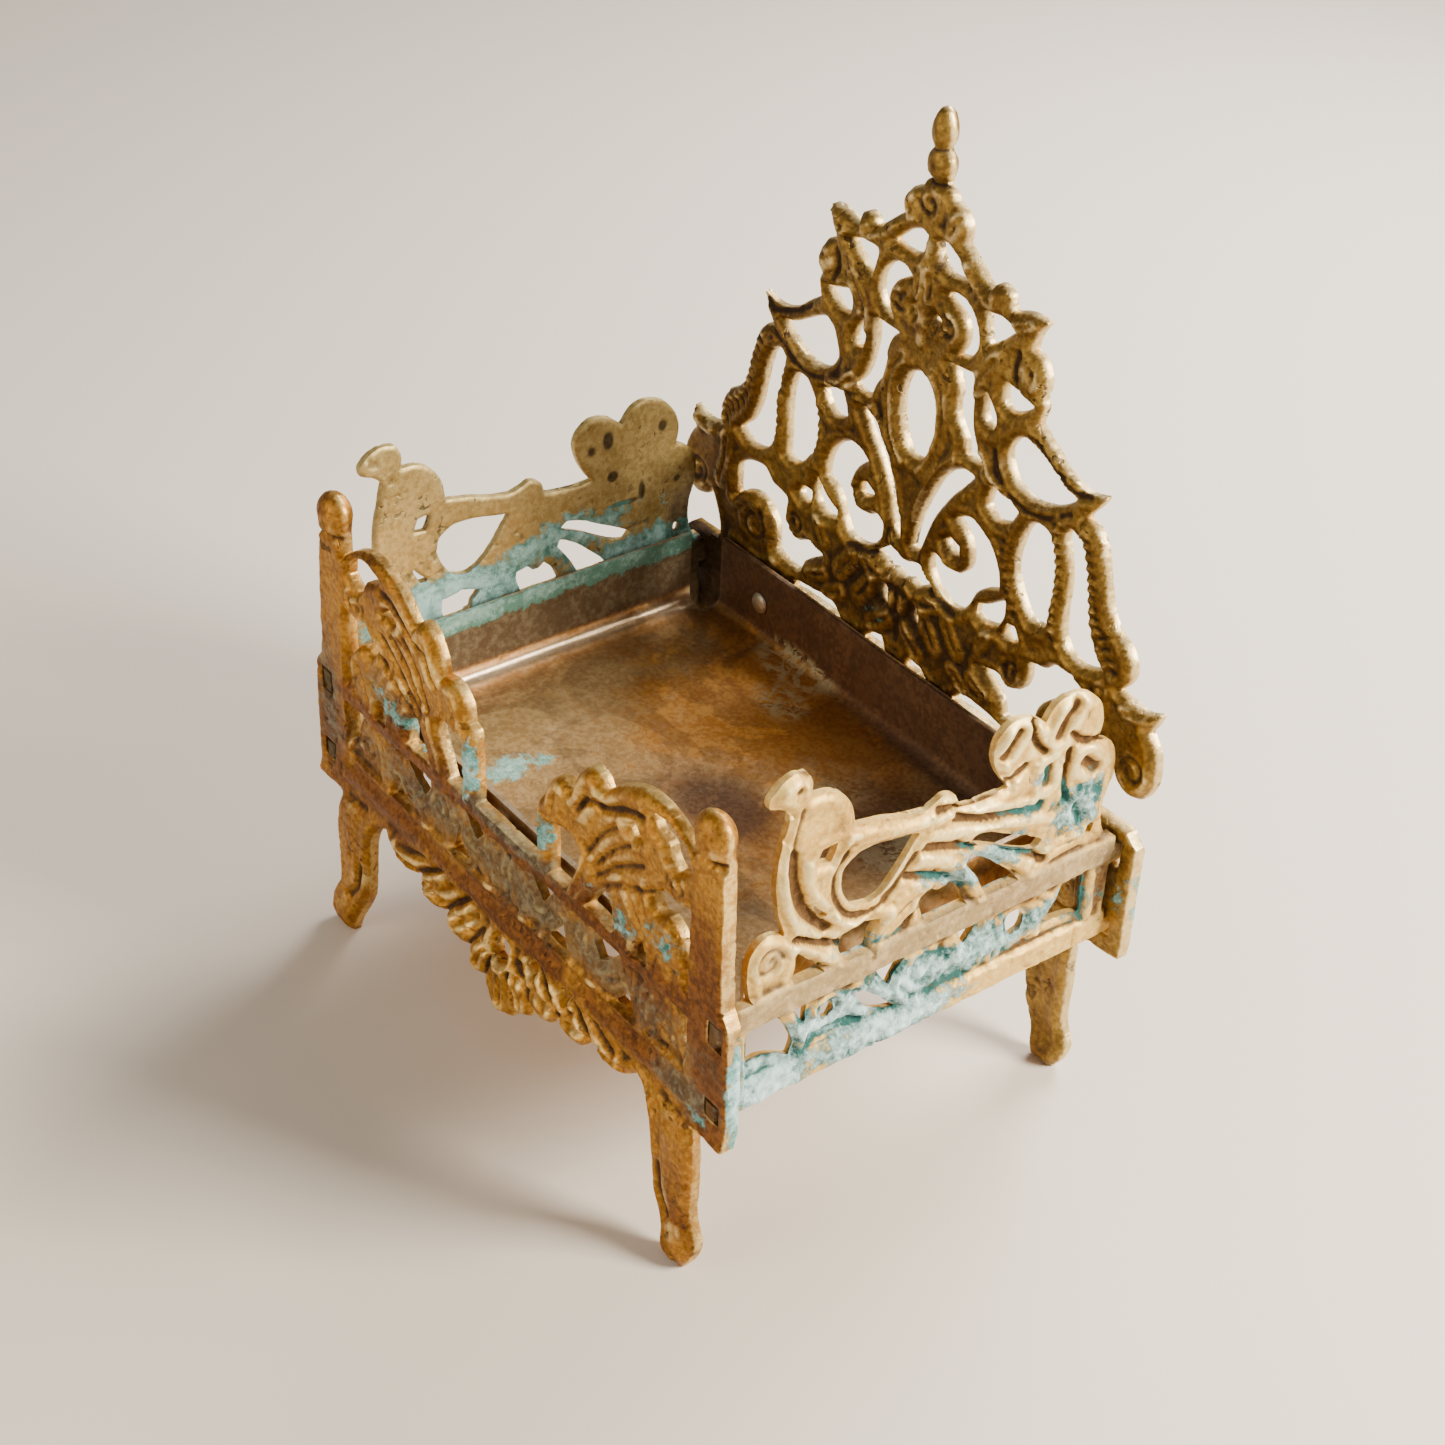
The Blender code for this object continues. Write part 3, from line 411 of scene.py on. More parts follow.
    def _settle_rim(self) -> None:
        """Number the kept corners, find the rim and move its corners onto the outline.

        Corners just inside the rim are pushed inward to a fair distance, so no sliver is left.
        """
        index = np.full(self.u.shape, -1)
        i, j = np.nonzero(self.cells)
        self.used = np.zeros(self.u.shape, bool)
        for di, dj in ((0, 0), (1, 0), (1, 1), (0, 1)):
            self.used[i + di, j + dj] = True
        count = int(self.used.sum())
        index[self.used] = np.arange(count)
        self.quads = np.stack([index[i, j], index[i + 1, j], index[i + 1, j + 1], index[i, j + 1]], axis=1)
        quads = self.quads
        edges = np.vstack([quads[:, [0, 1]], quads[:, [1, 2]], quads[:, [2, 3]], quads[:, [3, 0]]])
        codes = edges[:, 0] * count + edges[:, 1]
        self.rim = edges[~np.isin(codes, edges[:, 1] * count + edges[:, 0])]
        u, v, inset = self.u[self.used], self.v[self.used], self.inset[self.used]
        brink = np.zeros(count, bool)
        brink[np.unique(self.rim)] = True
        goal = self._on_outline(u[brink], v[brink])
        stay = 0.05
        u[brink] += (1.0 - stay) * (goal[:, 0] - u[brink])
        v[brink] += (1.0 - stay) * (goal[:, 1] - v[brink])
        inset[brink] = 0.0
        fair = 0.4 * self.pitch
        close = ~brink & (inset > 1e-4) & (inset < fair)
        goal = self._on_outline(u[close], v[close])
        stretch = fair / inset[close]
        u[close] = goal[:, 0] + stretch * (u[close] - goal[:, 0])
        v[close] = goal[:, 1] + stretch * (v[close] - goal[:, 1])
        inset[close] = fair
        self.u[self.used], self.v[self.used], self.inset[self.used] = u, v, np.maximum(inset, 0.0)

    def _on_outline(self, u: np.ndarray, v: np.ndarray) -> np.ndarray:
        """The nearest spot of the outline to each point.

        Args:
            u: Drawing coordinates across.
            v: Drawing coordinates up.

        Returns:
            The spots, one row each.
        """
        start, end = self.outline.start, self.outline.end
        goal = np.empty((len(u), 2))
        for part in np.array_split(np.arange(len(u)), max(1, len(u) // 400)):
            _, pick, share = nearest(start, end, u[part], v[part])
            goal[part] = start[pick] + share[:, None] * (end[pick] - start[pick])
        return goal


# ------------------------------------------------------------------------------------ relief

class Tool(Enum):
    """What a stroke does to the face of a casting."""

    BEAD = "a rounded ridge"
    GROOVE = "a rounded furrow"
    ROPE = "slanting notches across a bar"


@dataclass(frozen=True)
class Stroke:
    """A line or a spot worked into a casting.

    Attributes:
        tool: What the stroke does.
        points: Knots of its line in the drawing plane; a single one is a spot.
        width: Half width in millimetres.
        height: Rise or depth in millimetres.
    """

    tool: Tool
    points: tuple[Point, ...]
    width: float
    height: float

    def mirrored(self) -> "Stroke":
        """The same stroke on the other side of the middle line."""
        return replace(self, points=tuple((-u, v) for u, v in self.points))

    def work(self, lattice: Lattice, height: np.ndarray) -> None:
        """Add the stroke to the heights of the face.

        Args:
            lattice: The grid over the casting.
            height: Heights of its points, changed in place.
        """
        line = curve_through(self.points)
        if len(line) == 1:
            line = np.vstack([line, line + [0.01, 0.0]])
        margin = 2.5 * self.width
        low, high = line.min(0) - margin, line.max(0) + margin
        first = np.maximum(((low - [lattice.u[0, 0], lattice.v[0, 0]]) / lattice.pitch).astype(int), 0)
        last = ((high - [lattice.u[0, 0], lattice.v[0, 0]]) / lattice.pitch).astype(int) + 2
        window = np.s_[first[0]:max(last[0], 0), first[1]:max(last[1], 0)]
        u, v = lattice.u[window], lattice.v[window]
        if u.size == 0:
            return
        gap, pick, share = nearest(line[:-1], line[1:], u.ravel(), v.ravel())
        lengths = np.linalg.norm(line[1:] - line[:-1], axis=1)
        passed = np.concatenate([[0.0], np.cumsum(lengths)[:-1]])
        along = (passed[pick] + share * lengths[pick]).reshape(u.shape)
        gap = gap.reshape(u.shape)
        if self.tool is Tool.BEAD:
            height[window] += self.height * np.sqrt(np.clip(1.0 - (gap / self.width) ** 2, 0.0, 1.0))
        elif self.tool is Tool.GROOVE:
            height[window] -= self.height * np.exp(-1.6 * (gap / self.width) ** 2)
        else:
            wave = np.cos(2 * math.pi * (along - 0.45 * gap) / ROPE_PITCH)
            height[window] += self.height * wave * smooth_step(1.6 * (1.0 - gap / self.width))


def ring(centre: Point, radius: float, start: float = 0.0, sweep: float = 360.0,
         shrink: float = 0.0) -> tuple[Point, ...]:
    """Knots on a circle or a spiral: the radius falls by shrink over the sweep, angles in degrees.

    Args:
        centre: Middle of the circle.
        radius: Radius at the start.
        start: First angle.
        sweep: Angle covered.
        shrink: Fall of the radius over the sweep.

    Returns:
        The knots.
    """
    steps = max(5, int(abs(sweep) / 40) + 1)
    turns = [math.radians(start + sweep * k / (steps - 1)) for k in range(steps)]
    sizes = [radius - shrink * k / (steps - 1) for k in range(steps)]
    return tuple((centre[0] + r * math.cos(a), centre[1] + r * math.sin(a)) for a, r in zip(turns, sizes))


@dataclass(frozen=True)
class Bloom:
    """A soft spot of verdigris, grime, tone, stain or painted shade, in the drawing plane of its piece."""

    centre: Point
    reach: Point
    strength: float = 1.0

    def spread(self, u: np.ndarray, v: np.ndarray) -> np.ndarray:
        """Strength at each point: a bell over the spot's two reaches."""
        return self.strength * np.exp(-((u - self.centre[0]) / self.reach[0]) ** 2
                                      - ((v - self.centre[1]) / self.reach[1]) ** 2)


def spots(*rows: tuple[float, float, float, float, float]) -> tuple[Bloom, ...]:
    """Blooms from rows of a centre's two numbers, two reaches and a strength."""
    return tuple(Bloom(row[:2], row[2:4], row[4]) for row in rows)


def gathered(blooms: Sequence[Bloom], u: np.ndarray, v: np.ndarray) -> np.ndarray:
    """The strongest of several blooms at each point.

    Args:
        blooms: The soft spots.
        u: Drawing coordinates across.
        v: Drawing coordinates up.

    Returns:
        The strength at each point.
    """
    total = np.zeros_like(u)
    for bloom in blooms:
        total = np.maximum(total, bloom.spread(u, v))
    return total


class Facing(Enum):
    """Which way the worked face of a casting looks."""

    FRONT = (0, -1)
    RIGHT = (1, 0)
    LEFT = (-1, 0)


@dataclass(frozen=True)
class Turned:
    """A part of a casting rounded behind as well as in front, like a knob.

    Attributes:
        span: Its place in the drawing plane: u low, u high, v low, v high.
        radius: Half its width in the drawing plane.
        swell: Half its thickness.
    """

    span: tuple[float, float, float, float]
    radius: float
    swell: float


@dataclass
class Casting:
    """One open-mould brass casting, worked on its face and flat behind.

    Attributes:
        node: CAD node that the casting stands for.
        name: Name of the visible piece.
        facing: Which way the worked face looks.
        slot: Material slot of the record; not used.
        strokes: Ridges, grooves and bosses of the face.
        plain: Bands (u low, u high, v low, v high) of plates and rails, which stay flat.
        turned: Knobs and finials, rounded behind as well.
        sunk: Bands of openwork set back from the face, with their depth in a fifth number.
        green: Spots of verdigris on the face.
        green_back: Spots of verdigris on the back.
        grime: Spots of grey-green grime on the face.
        shade: Spots of painted shade on the face, in slots, corners and behind other parts, with a few
            darker patina spots.
        shade_back: The same behind, with a few dark pits.
        rust: Spots where the second cloud of tarnish takes over.
        gold: Spots where the first one does.
        pitted: Depth of the casting pits.
        sooty: How deep a groove is before it is filled with grime.
        origin: Added to a position along the casting to give its drawing coordinate.
        round_over: Width over which a bar's edge rounds into its face.
        shoulder: How far the edge lies below the face.
        pitch: Grid step.
        seed: Start of the random relief.
        proud: How far the relief may pass the node's own box along each axis.
    """

    node: str
    name: str
    facing: Facing
    slot: str
    strokes: Sequence[Stroke]
    plain: Sequence[tuple[float, float, float, float]] = ()
    turned: Sequence[Turned] = ()
    sunk: Sequence[tuple[float, float, float, float, float]] = ()
    green: Sequence[Bloom] = ()
    green_back: Sequence[Bloom] = ()
    grime: Sequence[Bloom] = ()
    shade: Sequence[Bloom] = ()
    shade_back: Sequence[Bloom] = ()
    rust: Sequence[Bloom] = ()
    gold: Sequence[Bloom] = ()
    pitted: float = 0.25
    sooty: float = 0.42
    origin: float = 0.0
    round_over: float = 1.5
    shoulder: float = 1.15
    pitch: float = 0.33
    seed: int = 1
    proud: tuple[float, float, float] = (0.0, 0.9, 0.0)
    face_heights: np.ndarray = field(init=False, repr=False)
    face_places: np.ndarray = field(init=False, repr=False)
    thickness: float = field(init=False, default=2.4)

    def read_node(self) -> Outline:
        """Take the outline of the worked face, and where that face lies at each height, from the node.

        Returns:
            The outline.
        """
        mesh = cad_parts[self.node].data
        count = len(mesh.vertices)
        points = np.empty(count * 3, np.float32)
        mesh.vertices.foreach_get("co", points)
        points = np.round(points.reshape(-1, 3).astype(float) / MM, 3)
        mesh.calc_loop_triangles()
        triangles = np.empty(len(mesh.loop_triangles) * 3, np.int32)
        mesh.loop_triangles.foreach_get("vertices", triangles)
        places, merged = np.unique(points, axis=0, return_inverse=True)
        triangles = merged.reshape(-1)[triangles.reshape(-1, 3)]
        a, b, c = (places[triangles[:, k]] for k in range(3))
        normal = np.cross(b - a, c - a)
        normal /= np.maximum(np.linalg.norm(normal, axis=1, keepdims=True), 1e-12)
        outward = np.array([*self.facing.value, 0.0])
        cap = triangles[(normal @ outward) > 0.8]
        facing_out = places @ outward
        ranked = np.argsort(places[cap[:, 0]][:, 2])
        self.face_heights = places[cap[ranked, 0]][:, 2]
        self.face_places = facing_out[cap[ranked, 0]]
        back = triangles[(normal @ outward) < -0.8]
        self.thickness = float(np.median(facing_out[cap]) - np.median(facing_out[back]))
        return Outline.of_cap(self.drawn(places), cap)

    def drawn(self, places: np.ndarray) -> np.ndarray:
        """Drawing coordinates of positions: across the casting, and up.

        Args:
            places: Positions in millimetres, one row each.

        Returns:
            The two coordinates, one row each.
        """
        if self.facing is Facing.FRONT:
            return places[:, [0, 2]]
        return places[:, [1, 2]] + [self.origin, 0.0]

    def placed(self, u: np.ndarray, v: np.ndarray, depth: np.ndarray) -> np.ndarray:
        """Positions of drawing points at a depth behind the face of the node, a little uneven as cast.

        Args:
            u: Drawing coordinates across.
            v: Drawing coordinates up.
            depth: Depth behind the face.

        Returns:
            Positions in millimetres, held inside the node's box.
        """
        low, high = in_mm(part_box(self.node))
        part_low, part_high = in_mm(PACKED)
        return np.clip(self.true_place(u + WOBBLE * cloud(u, v, 3.1, self.seed + 21),
                                       v + WOBBLE * cloud(u, v, 3.3, self.seed + 22), depth),
                       np.maximum(low - self.proud, part_low), np.minimum(high + self.proud, part_high))

    def true_place(self, u: np.ndarray, v: np.ndarray, depth: np.ndarray) -> np.ndarray:
        """Exact positions of drawing points at a depth behind the face of the node.

        Args:
            u: Drawing coordinates across.
            v: Drawing coordinates up.
            depth: Depth behind the face.

        Returns:
            Positions in millimetres.
        """
        out = np.interp(v, self.face_heights, self.face_places) - depth
        if self.facing is Facing.FRONT:
            return np.stack([u, -out, v], axis=1)
        sign = self.facing.value[0]
        return np.stack([sign * out, u - self.origin, v], axis=1)

    def relief(self, lattice: Lattice) -> tuple[np.ndarray, np.ndarray]:
        """Height of the face above the node's own face, and the carved part of it without the rounded edges.

        A bar rounds over from its edge by drop * (1 - inset / width) ^ 2.2, and where it is wide enough
        a rim stays along the edge while the middle dips.  Plates and rails keep a small round and no
        dip.  The strokes are added, and the whole is blurred a little, as a sand mould blurs its pattern.

        Args:
            lattice: The grid over the casting.

        Returns:
            The height and its carved part at each grid point.
        """
        inset = np.maximum(lattice.inset, 0.0)
        flat = self.flatness(lattice)
        width = self.round_over * (1.0 - 0.62 * flat)
        drop = self.shoulder * (1.0 - 0.66 * flat)
        edge = -drop * (1.0 - np.clip(inset / width, 0.0, 1.0)) ** 2.2
        height = -0.3 * (1.0 - flat) * smooth_step((inset - 1.3) / 0.9)
        for left, right, low, high, depth in self.sunk:
            height -= depth * band(lattice.u, left, right, 0.45) * band(lattice.v, low, high, 0.45)
        for stroke in self.strokes:
            stroke.work(lattice, height)
        inside = (lattice.inset > -1.5 * lattice.pitch).astype(float)
        carved = blurred(height, inside, MOULD_BLUR / lattice.pitch + 0.2)
        height = carved * smooth_step(inset / 0.45) + edge
        u, v = lattice.u, lattice.v
        height += 0.10 * cloud(u, v, 2.6, self.seed) + 0.06 * cloud(u, v, 0.95, self.seed + 7)
        height -= self.pits(u, v, self.seed + 11)
        height += 0.26 * np.clip(gathered(self.green, u, v), 0.0, 1.0) * cloud(u, v, 0.8, self.seed + 17)
        return np.minimum(height, HIGHEST), carved

    def flatness(self, lattice: Lattice) -> np.ndarray:
        """1 on the plain plates and rails, 0 elsewhere.

        Args:
            lattice: The grid over the casting.

        Returns:
            The share at each grid point.
        """
        flat = np.zeros_like(lattice.u)
        for left, right, low, high in self.plain:
            flat = np.maximum(flat, band(lattice.u, left, right, 0.5) * band(lattice.v, low, high, 0.5))
        return flat

    def pits(self, u: np.ndarray, v: np.ndarray, seed: int) -> np.ndarray:
        """Depth of scattered casting pits: the peaks of a fine random relief, where a broad one is high."""
        peaks = smooth_step((cloud(u, v, 1.15, seed) - 0.52) / 0.2)
        return self.pitted * peaks * smooth_step((cloud(u, v, 9.0, seed + 2) + 0.25) / 0.5)

    def skins(self, lattice: Lattice, height: np.ndarray) -> tuple[np.ndarray, np.ndarray]:
        """Depths of face and back; turned spans are rounded to both sides of their middle plane.

        Args:
            lattice: The grid over the casting.
            height: Height of the face at each grid point.

        Returns:
            The two depths at each grid point.
        """
        near = -height
        far = self.thickness + 0.06 * cloud(lattice.u, lattice.v, 1.7, self.seed + 3)
        far = far - 0.8 * self.pits(lattice.u, lattice.v, self.seed + 5)
        far = far - 0.25 * (1.0 - np.clip(lattice.inset / 0.5, 0.0, 1.0)) ** 2
        for part in self.turned:
            left, right, low, high = part.span
            share = band(lattice.u, left, right, 0.4) * smooth_step((lattice.v - low) / 1.2)
            share *= band(lattice.v, low, high, 0.4)
            middle = self.thickness / 2
            inward = 1.0 - np.clip(lattice.inset / part.radius, 0.0, 1.0)
            swell = np.maximum(part.swell * np.sqrt(np.maximum(1.0 - inward ** 2, 0.0)), 0.2)
            near = near * (1 - share) + (middle - swell) * share
            far = far * (1 - share) + (middle + swell) * share
        near = np.minimum(near, far - 0.5)
        return near, far

    def marks(self, lattice: Lattice, carved: np.ndarray) -> dict[str, tuple[np.ndarray, np.ndarray]]:
        """Numbers for the material: hollows, crests, verdigris and grime, for face and back.

        Args:
            lattice: The grid over the casting.
            carved: Carved part of the height.

        Returns:
            The numbers for face and back, by attribute name.
        """
        inside = (lattice.inset > -1.5 * lattice.pitch).astype(float)
        wide = blurred(carved, inside, 1.1 / lattice.pitch)
        u, v = lattice.u, lattice.v
        shade, shade_back = gathered(self.shade, u, v), gathered(self.shade_back, u, v)
        flat = self.flatness(lattice)
        # hollow: grime in grooves and pits, plus painted shade from the shade spots.
        dip = (1.0 - 0.6 * flat) * (wide - carved) / self.sooty
        hollow = np.clip(dip + 1.3 * self.pits(u, v, self.seed + 11) + shade, 0.0, 1.2)
        behind = np.clip(1.6 * self.pits(u, v, self.seed + 5) + shade_back, 0.0, 1.2)
        ridge = np.clip((1.0 - 0.75 * flat) * (carved - wide) / 0.3, 0.0, 1.0)
        crest = ridge * (1.0 - np.clip(shade, 0.0, 1.0))
        # brink: the rim, painted bright as rubbed edge and as painted highlight, except under painted shade.
        edge = (lattice.inset < 1e-6) * (1.0 - np.clip(np.maximum(shade, shade_back), 0.0, 1.0))
        none = np.zeros_like(carved)
        warmth = gathered(self.rust, u, v) - gathered(self.gold, u, v)
        return {"warmth": (warmth, none), "hollow": (hollow, behind), "crest": (crest, none),
                "brink": (edge, edge),
                "green": (gathered(self.green, u, v), gathered(self.green_back, u, v)),
                "grime": (gathered(self.grime, u, v), 0.5 * gathered(self.grime, u, v))}

    def build(self, finish: "Finish") -> bpy.types.Object:
        """Make the casting, dress it and put it in the node's place.

        Args:
            finish: What the piece is dressed in.

        Returns:
            The finished piece.
        """
        lattice = Lattice(self.read_node(), self.pitch)
        height, carved = self.relief(lattice)
        near, far = self.skins(lattice, height)
        piece = lattice.solid(self.name, near, far, self.placed, self.marks(lattice, carved))
        return seated(piece, self.node, finish.material())


def seated(piece: bpy.types.Object, node: str, material: bpy.types.Material) -> bpy.types.Object:
    """Dress a piece and let it stand for its CAD node.

    Args:
        piece: The new piece.
        node: CAD node that it stands for.
        material: What it is dressed in.

    Returns:
        The same piece.
    """
    piece.data.materials.append(material)
    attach(piece, "root")
    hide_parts(node)
    return piece


# -------------------------------------------------------------------------------- materials

FLOAT, COLOUR, VECTOR = "NodeSocketFloat", "NodeSocketColor", "NodeSocketVector"
DARK_FLECK, LIGHT_FLECK = (0.10, 0.08, 0.06), (0.98, 0.96, 0.90)
SCALE_CRUST = (0.56, 0.54, 0.36)
BUMP_DISTANCE = 0.00028     # metres
GRAIN, TARNISH, CRUST = "Cast grain", "Tarnished brass", "Verdigris crust"


@dataclass(frozen=True)
class Wire:
    """An output of a shader node, with the arithmetic of Math nodes."""

    graph: "Graph"
    socket: bpy.types.NodeSocket

    def __add__(self, other: "Signal") -> "Wire":
        """Sum."""
        return self.graph.maths("ADD", self, other)

    def __sub__(self, other: "Signal") -> "Wire":
        """Difference."""
        return self.graph.maths("SUBTRACT", self, other)

    def __rsub__(self, other: float) -> "Wire":
        """Difference from a plain number."""
        return self.graph.maths("SUBTRACT", other, self)

    def __mul__(self, other: "Signal") -> "Wire":
        """Product."""
        return self.graph.maths("MULTIPLY", self, other)

    def __abs__(self) -> "Wire":
        """Size without the sign."""
        return self.graph.maths("ABSOLUTE", self, 0.0)

    def or_more(self, other: "Signal") -> "Wire":
        """The larger of the two."""
        return self.graph.maths("MAXIMUM", self, other)

    def held(self) -> "Wire":
        """The same, held between 0 and 1 by its own Math node."""
        self.socket.node.use_clamp = True
        return self


Signal = Wire | float | Colour


@dataclass(frozen=True)
class Graph:
    """Short ways to add and join the nodes of one tree."""

    tree: bpy.types.NodeTree

    def node(self, kind: str, inputs: dict[str | int, Signal], **settings: object) -> bpy.types.Node:
        """Add a node, set its properties, and set or link its inputs.

        Args:
            kind: Type of the node.
            inputs: Values or wires by name or number of the input.
            settings: The node's own properties.

        Returns:
            The new node.
        """
        node = self.tree.nodes.new(kind)
        for key, value in settings.items():
            setattr(node, key, value)
        for place, signal in inputs.items():
            self.feed(node.inputs[place], signal)
        return node

    def feed(self, socket: bpy.types.NodeSocket, signal: Signal) -> None:
        """Set an input to a plain value, or link it to an output.

        Args:
            socket: The input.
            signal: A number, a colour or a wire.
        """
        if isinstance(signal, Wire):
            self.tree.links.new(signal.socket, socket)
        else:
            socket.default_value = (*signal, 1.0) if isinstance(signal, tuple) else signal

    def maths(self, operation: str, first: Signal, second: Signal) -> Wire:
        """A Math node's result."""
        return Wire(self, self.node("ShaderNodeMath", {0: first, 1: second}, operation=operation).outputs[0])

    def ramp(self, signal: Signal, low: float, high: float) -> Wire:
        """A smooth rise from 0 at low to 1 at high."""
        node = self.node("ShaderNodeMapRange", {"Value": signal, "From Min": low, "From Max": high},
                         interpolation_type="SMOOTHSTEP")
        return Wire(self, node.outputs["Result"])

    def mix(self, share: Signal, first: Signal, second: Signal, blend: str = "MIX") -> Wire:
        """Two colours mixed by a share.

        Args:
            share: Share of the second.
            first: Colour at a share of 0.
            second: Colour at a share of 1.
            blend: How the second is laid over the first.

        Returns:
            The mixed colour.
        """
        node = self.node("ShaderNodeMix", {}, data_type="RGBA", blend_type=blend, clamp_factor=True)
        for place, signal in (("Factor", share), (6, first), (7, second)):
            self.feed(node.inputs[place], signal)
        return Wire(self, node.outputs[2])

    def noise(self, place: Wire, scale: float, detail: float, rough: float, warp: float = 0.0) -> Wire:
        """Fractal noise from 0 to 1 at a place."""
        node = self.node("ShaderNodeTexNoise", {"Vector": place, "Scale": scale, "Detail": detail,
                                                "Roughness": rough, "Distortion": warp})
        return Wire(self, node.outputs["Fac"])

    def attribute(self, name: str) -> Wire:
        """One of the numbers that the mesh carries."""
        return Wire(self, self.node("ShaderNodeAttribute", {}, attribute_name=name).outputs["Fac"])

    def group(self, name: str, inputs: dict[str, Signal]) -> dict[str, Wire]:
        """Place a shared group, set or link its inputs, and give its outputs by name."""
        node = self.node("ShaderNodeGroup", inputs, node_tree=bpy.data.node_groups[name])
        return {socket.name: Wire(self, socket) for socket in node.outputs}

    def leave(self, outputs: dict[str, Wire]) -> None:
        """Finish a group with its outputs: a colour under the name Color, numbers under the others.

        Args:
            outputs: Wires by name of the output.
        """
        for key in outputs:
            kind = COLOUR if key == "Color" else FLOAT
            self.tree.interface.new_socket(key, in_out="OUTPUT", socket_type=kind)
        self.node("NodeGroupOutput", outputs)


def new_group(name: str, numbers: str, colours: str = "") -> tuple[Graph, dict[str, Wire]]:
    """Start a node group whose inputs are a place, numbers and colours.

    Args:
        name: Name of the group.
        numbers: Names of the number inputs, parted by spaces.
        colours: Names of the colour inputs.

    Returns:
        The group's graph, and its inputs by name.
    """
    graph = Graph(bpy.data.node_groups.new(name, "ShaderNodeTree"))
    for kind, names in ((VECTOR, "Place"), (FLOAT, numbers), (COLOUR, colours)):
        for key in names.split():
            graph.tree.interface.new_socket(key, in_out="INPUT", socket_type=kind)
    return graph, {socket.name: Wire(graph, socket) for socket in graph.node("NodeGroupInput", {}).outputs}


def cast_grain_group() -> None:
    """Sand-cast skin: soft lumps, fine grit and scattered pits.  Gives a height and a mask of the pits."""
    n, given = new_group(GRAIN, "Pitting")
    place = given["Place"]
    lumps = n.noise(place, 420.0, 3.0, 0.5)
    grit = n.noise(place, 1900.0, 4.0, 0.62)
    holes = n.noise(place, 640.0, 2.0, 0.45, 0.6)
    scatter = n.noise(place, 95.0, 2.0, 0.5)
    pits = (n.ramp(holes, 0.60, 0.69) * (n.ramp(scatter, 0.46, 0.66) * given["Pitting"])).held()
    n.leave({"Height": lumps * 0.55 + grit * 0.3 - pits * 0.9, "Pits": pits})


def tarnish_group() -> None:
    """Brass under tarnish: bright on rubbed crests and on edges and folds with painted highlight,
    brown with grime and painted shade in hollows and pits, cloudy between.
    """
    n, given = new_group(TARNISH, "Hollow Crest Pits Wear Dirt Tide Speckle Spots Warmth Cloudy Rough",
                         "Body Worn Dark Blush")
    place, dark = given["Place"], given["Dark"]
    broad = n.noise(place, 55.0, 4.0, 0.6, 0.4)
    fine = n.noise(place, 330.0, 5.0, 0.65, 0.3)
    speck = n.noise(place, 1300.0, 3.0, 0.6)
    clouds = broad * 0.6 + fine * 0.4
    base = n.mix(n.ramp(clouds + given["Warmth"] * 0.16, 0.42, 0.62), given["Body"], given["Blush"])
    # Rubbed crests, and edges and folds with painted highlight, turn bright.
    worn = (n.ramp(given["Crest"] + (fine - 0.5) * 1.1, 0.25, 0.95) * given["Wear"]).held()
    base = n.mix(worn, base, given["Worn"])
    # Grime in hollows and pits, and the painted shade laid into the hollows, turn dark.
    sink = given["Hollow"] + (clouds - 0.5) * given["Cloudy"]
    dirt = (n.ramp(sink, 0.05, 0.75) * given["Dirt"]).held()
    dirt = dirt.or_more(given["Pits"] * 0.85).held()
    base = n.mix(dirt, base, dark)
    flecks = n.mix(n.ramp(speck * 0.6 + fine * 0.4, 0.42, 0.58), DARK_FLECK, LIGHT_FLECK)
    base = n.mix(given["Speckle"], base, flecks, "SOFT_LIGHT")

    # Pools of old wet, and the tide lines round them.
    level = n.noise(place, 38.0, 5.0, 0.6, 1.4)
    line = (1.0 - abs(level - 0.5) * 26.0).held()
    base = n.mix(n.ramp(level, 0.50, 0.53) * (given["Tide"] * 0.45), base, dark)
    base = n.mix(line * (given["Tide"] * 0.6), base, dark)

    # Pale scale with curled rims.
    curl = abs(n.noise(place, 300.0, 3.0, 0.55, 1.2) - 0.52)
    rim = (1.0 - curl * 18.0).held()
    scale = n.ramp(given["Spots"] + (broad - 0.5), 0.30, 0.75) * rim.or_more(n.ramp(fine, 0.48, 0.58) * 0.7)
    scale = scale.held() * 0.8
    base = n.mix(scale, base, SCALE_CRUST)
    dull = dirt.or_more(scale).held()
    rough = given["Rough"] + fine * 0.24 + dull * 0.26 - worn * 0.1
    n.leave({"Color": base, "Roughness": rough.held(), "Dullness": dull})


def crust_group() -> None:
    """Verdigris and grime that grow where a mask is strong, with ragged edges and a powdery top."""
    n, given = new_group(CRUST, "Mask Hollow Grime", "Pale Deep Soot Dust")
    place, mask, hollow = given["Place"], given["Mask"], given["Hollow"]
    powder = n.noise(place, 900.0, 5.0, 0.68)
    ragged = n.noise(place, 170.0, 6.0, 0.68, 0.8) * 0.66 + powder * 0.34
    tint = n.noise(place, 260.0, 5.0, 0.66, 0.6) * 0.55 + powder * 0.45
    push = mask + (ragged - 0.5) * 2.3 + hollow * (mask * 0.5)
    amount = n.ramp(push, 0.46, 0.70)
    thick = n.ramp(push, 0.62, 1.15)
    # Verdigris is deeper in the hollows, which also carry painted shade.
    shade = (thick * 0.55 + (tint - 0.40) * 2.8 - hollow * 0.75).held()
    crust = n.mix(shade, given["Deep"], given["Pale"])
    soot = n.ramp(given["Grime"] + (tint - 0.5) * 1.2, 0.30, 0.85) * (1.0 - amount)
    mottle = n.mix(n.ramp(powder * 0.4 + tint * 0.6, 0.44, 0.62), given["Soot"], given["Dust"])
    n.leave({"Color": n.mix(amount, mottle, crust), "Amount": amount.or_more(soot * 0.75),
             "Height": (powder + thick) * amount})


